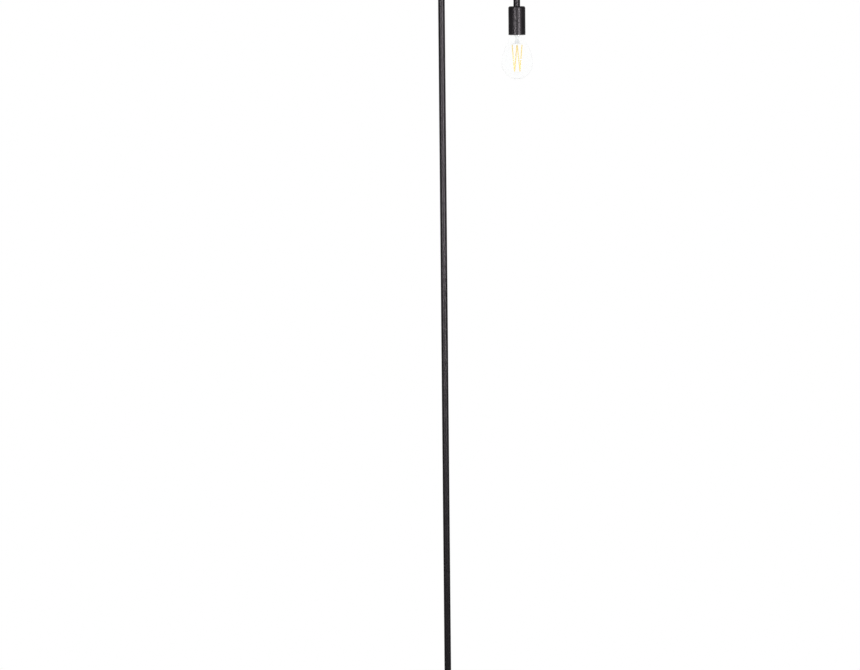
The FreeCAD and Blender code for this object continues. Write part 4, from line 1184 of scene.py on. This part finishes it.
glassStem = {
    "tube": 3.2,
    "bore": 2.4,
    "wall": 0.8,
    "flare": 11.3,
    "flareSteps": 12,
    "rim": 0.05,
    "top": 1325,
    "pressWide": 4.35,
    "pressThick": 1.5,
    "pressLow": 1305.3,
    "pressHigh": 1311.3,
    # rings of the press: share of its width, share of its thickness, height, squareness
    "pressRings": ((0.8, 0.55, 0.02, 3), (0.95, 0.85, 0.25, 3.5), (1, 1, 0.8, 4)),
    "squareness": 4,
    "blendDrop": 2.4,  # the press starts to turn into the tube this far under its upper end
    "blendRise": 4.6,
    "blendSteps": 8,
    "boreEnd": 2.2,  # heights over the press where the bore ends, narrows and closes
    "boreNarrow": 1.2,
    "boreClose": 0.9,
    "boreTip": (0.6, 0.5),  # the share of it that is left where it narrows
    "facets": 48,
}


def stemRing(wide, thick, height, squareness=2):
    # round at a squareness of 2, and flatter sides above it
    ring = []
    for cosine, sine in circlePoints(0, 0, 1, glassStem["facets"]):
        x = math.copysign(abs(cosine) ** (2 / squareness), cosine) * wide
        y = math.copysign(abs(sine) ** (2 / squareness), sine) * thick
        ring.append(Vector((bulbGlass["axis"] + x, y, height)) * mm)
    return ring


def buildGlassStem():
    # a flared tube whose lower end is pressed flat on the wires
    s = SimpleNamespace(**glassStem)
    axis, low, high, square = bulbGlass["axis"], s.pressLow, s.pressHigh, s.squareness
    rings = [[Vector((axis, 0, low)) * mm]]
    for wide, thick, rise, squareness in s.pressRings:
        rings.append(stemRing(s.pressWide * wide, s.pressThick * thick, low + rise, squareness))
    blendLow = high - s.blendDrop
    rings.append(stemRing(s.pressWide, s.pressThick, blendLow, square))
    for step in range(1, s.blendSteps + 1):
        t = step / s.blendSteps
        ease = t * t * (3 - 2 * t)
        wide = s.pressWide + (s.tube - s.pressWide) * ease
        thick = s.pressThick + (s.tube - s.pressThick) * ease
        height = blendLow + s.blendRise * t
        rings.append(stemRing(wide, thick, height, square - (square - 2) * ease))
    outer, inner = s.flare - s.tube, s.flare - s.wall - s.bore
    flared = arcPoints((s.flare, s.top - s.wall - outer), outer, 180, 90, s.flareSteps)
    flared += [(s.flare, s.top - s.rim)]
    flared += arcPoints((s.flare - s.wall, s.top - inner), inner, 90, 180, s.flareSteps)
    rings += [stemRing(radius, radius, min(height, s.top)) for radius, height in flared]
    rings.append(stemRing(s.bore, s.bore, high + s.boreEnd))
    tipWide, tipThick = s.boreTip
    rings.append(stemRing(s.bore * tipWide, s.bore * tipThick, high + s.boreNarrow))
    rings.append([Vector((axis, 0, high + s.boreClose)) * mm])
    stem = skinRings("glassStem", rings, False, "stem_glass", sharpAngle=50)
    standsFor(stem, "bulb", "clear_glass", "glass_stem")


leadIns = {
    # each wire: height, distance from the bulb's axis
    "route": (
        (1305.2, 2.7), (1308.0, 2.7), (1310.5, 2.5), (1312.5, 2.0), (1318.0, 1.8), (1325.0, 1.8),
    ),
    "radius": 0.15,
    "order": 3,
    "roundSteps": 3,
}


def buildLeadIns():
    # the two wires that come down inside the stem and are sealed in its press
    s = SimpleNamespace(**leadIns)
    drawing = bpy.data.curves.new("leadIns", "CURVE")
    drawing.dimensions = "3D"
    drawing.bevel_depth = s.radius * mm
    drawing.bevel_resolution = s.roundSteps
    drawing.use_fill_caps = True
    for side in (-1, 1):
        spline = drawing.splines.new("NURBS")
        spline.points.add(len(s.route) - 1)
        for point, (height, out) in zip(spline.points, s.route):
            point.co = ((bulbGlass["axis"] + side * out) * mm, 0, height * mm, 1)
        spline.order_u = s.order
        spline.use_endpoint_u = True
    wires = dressMesh("leadIns", meshOfCurve(drawing), "lead_wire", sharpAngle=40)
    standsFor(wires, "bulb", "lead_wire")


filamentStrips = {
    "axis": 146,
    "topHeight": 1303.4,
    "bottomHeight": 1250.0,
    "topRing": 9.6,
    "bottomRing": 7.4,
    "quarters": (180, 270, 0, 90),
    "twist": 45,
    "tab": 0.8,
    "radius": 1.0,
    "rodSteps": 150,
    "rodFacets": 20,
    "endPower": 60.0,  # high, so that a rod stays straight up to its rounded ends
    "endSize": 1.02,  # just over 1, so that the ends don't run out to nothing
    "chipPitch": 1.75,
    "chipSwell": 0.02,
}


def filamentTree():
    # each edge of the start mesh grows a rod, a little swollen over every chip under the coat
    bench = NodeBench("filamentRods")
    radius = bench.socket("Rod Radius")
    steps = bench.socket("Rod Steps", "Int")
    pitch = bench.socket("Chip Pitch")
    swell = bench.socket("Chip Swell")
    finish = bench.socket("Finish", "Material")
    route = bench.add("GeometryNodeMeshToCurve", {"Mesh": bench.entry.outputs[0]})
    fine = bench.add("GeometryNodeResampleCurve", {"Curve": route, "Count": steps})
    along = bench.add("GeometryNodeSplineParameter", {}, output="Factor")
    distance = bench.add("GeometryNodeSplineParameter", {}, output="Length")
    doubled = bench.math("MULTIPLY", along, 2.0)
    fromMiddle = bench.math("ABSOLUTE", bench.math("SUBTRACT", doubled, 1.0))
    fall = bench.math("POWER", fromMiddle, filamentStrips["endPower"])
    rest = bench.math("SUBTRACT", filamentStrips["endSize"], fall)
    rounding = bench.math("POWER", rest, 0.5)
    turns = bench.math("DIVIDE", distance, pitch)
    wave = bench.math("COSINE", bench.math("MULTIPLY", turns, math.tau))
    chips = bench.math("MULTIPLY_ADD", wave, swell, 1.0)
    size = bench.math("MULTIPLY", bench.math("MULTIPLY", radius, rounding), chips)
    ring = {"Resolution": filamentStrips["rodFacets"], "Radius": 1.0}
    ring = bench.add("GeometryNodeCurvePrimitiveCircle", ring)
    shape = {"Curve": fine, "Profile Curve": ring, "Scale": size, "Fill Caps": True}
    bench.end(bench.add("GeometryNodeCurveToMesh", shape), finish)
    return bench


def buildFilaments():
    s = SimpleNamespace(**filamentStrips)
    points, edges = [], []
    for quarter in s.quarters:
        ends = []
        for ring, height, degrees in (
            (s.topRing, s.topHeight, quarter),
            (s.bottomRing, s.bottomHeight, quarter + s.twist),
        ):
            angle = math.radians(degrees)
            ends.append(Vector((s.axis + ring * math.cos(angle), ring * math.sin(angle), height)))
        top, bottom = ends
        bare = (bottom - top).normalized() * s.tab
        edges.append((len(points), len(points) + 1))
        points += [(top + bare) * mm, (bottom - bare) * mm]
    start = bpy.data.meshes.new("filamentLines")
    start.from_pydata(points, edges, [])
    values = {
        "Rod Radius": s.radius * mm,
        "Rod Steps": s.rodSteps,
        "Chip Pitch": s.chipPitch * mm,
        "Chip Swell": s.chipSwell,
        "Finish": finishes["filament"],
    }
    rods = grown("filamentRods", filamentTree(), values, "filament", sharpAngle=40, start=start)
    standsFor(rods, "bulb", "filament", "filaments")


buildGlass()
buildGlassStem()
buildLeadIns()
buildFilaments()
print("bulb built")
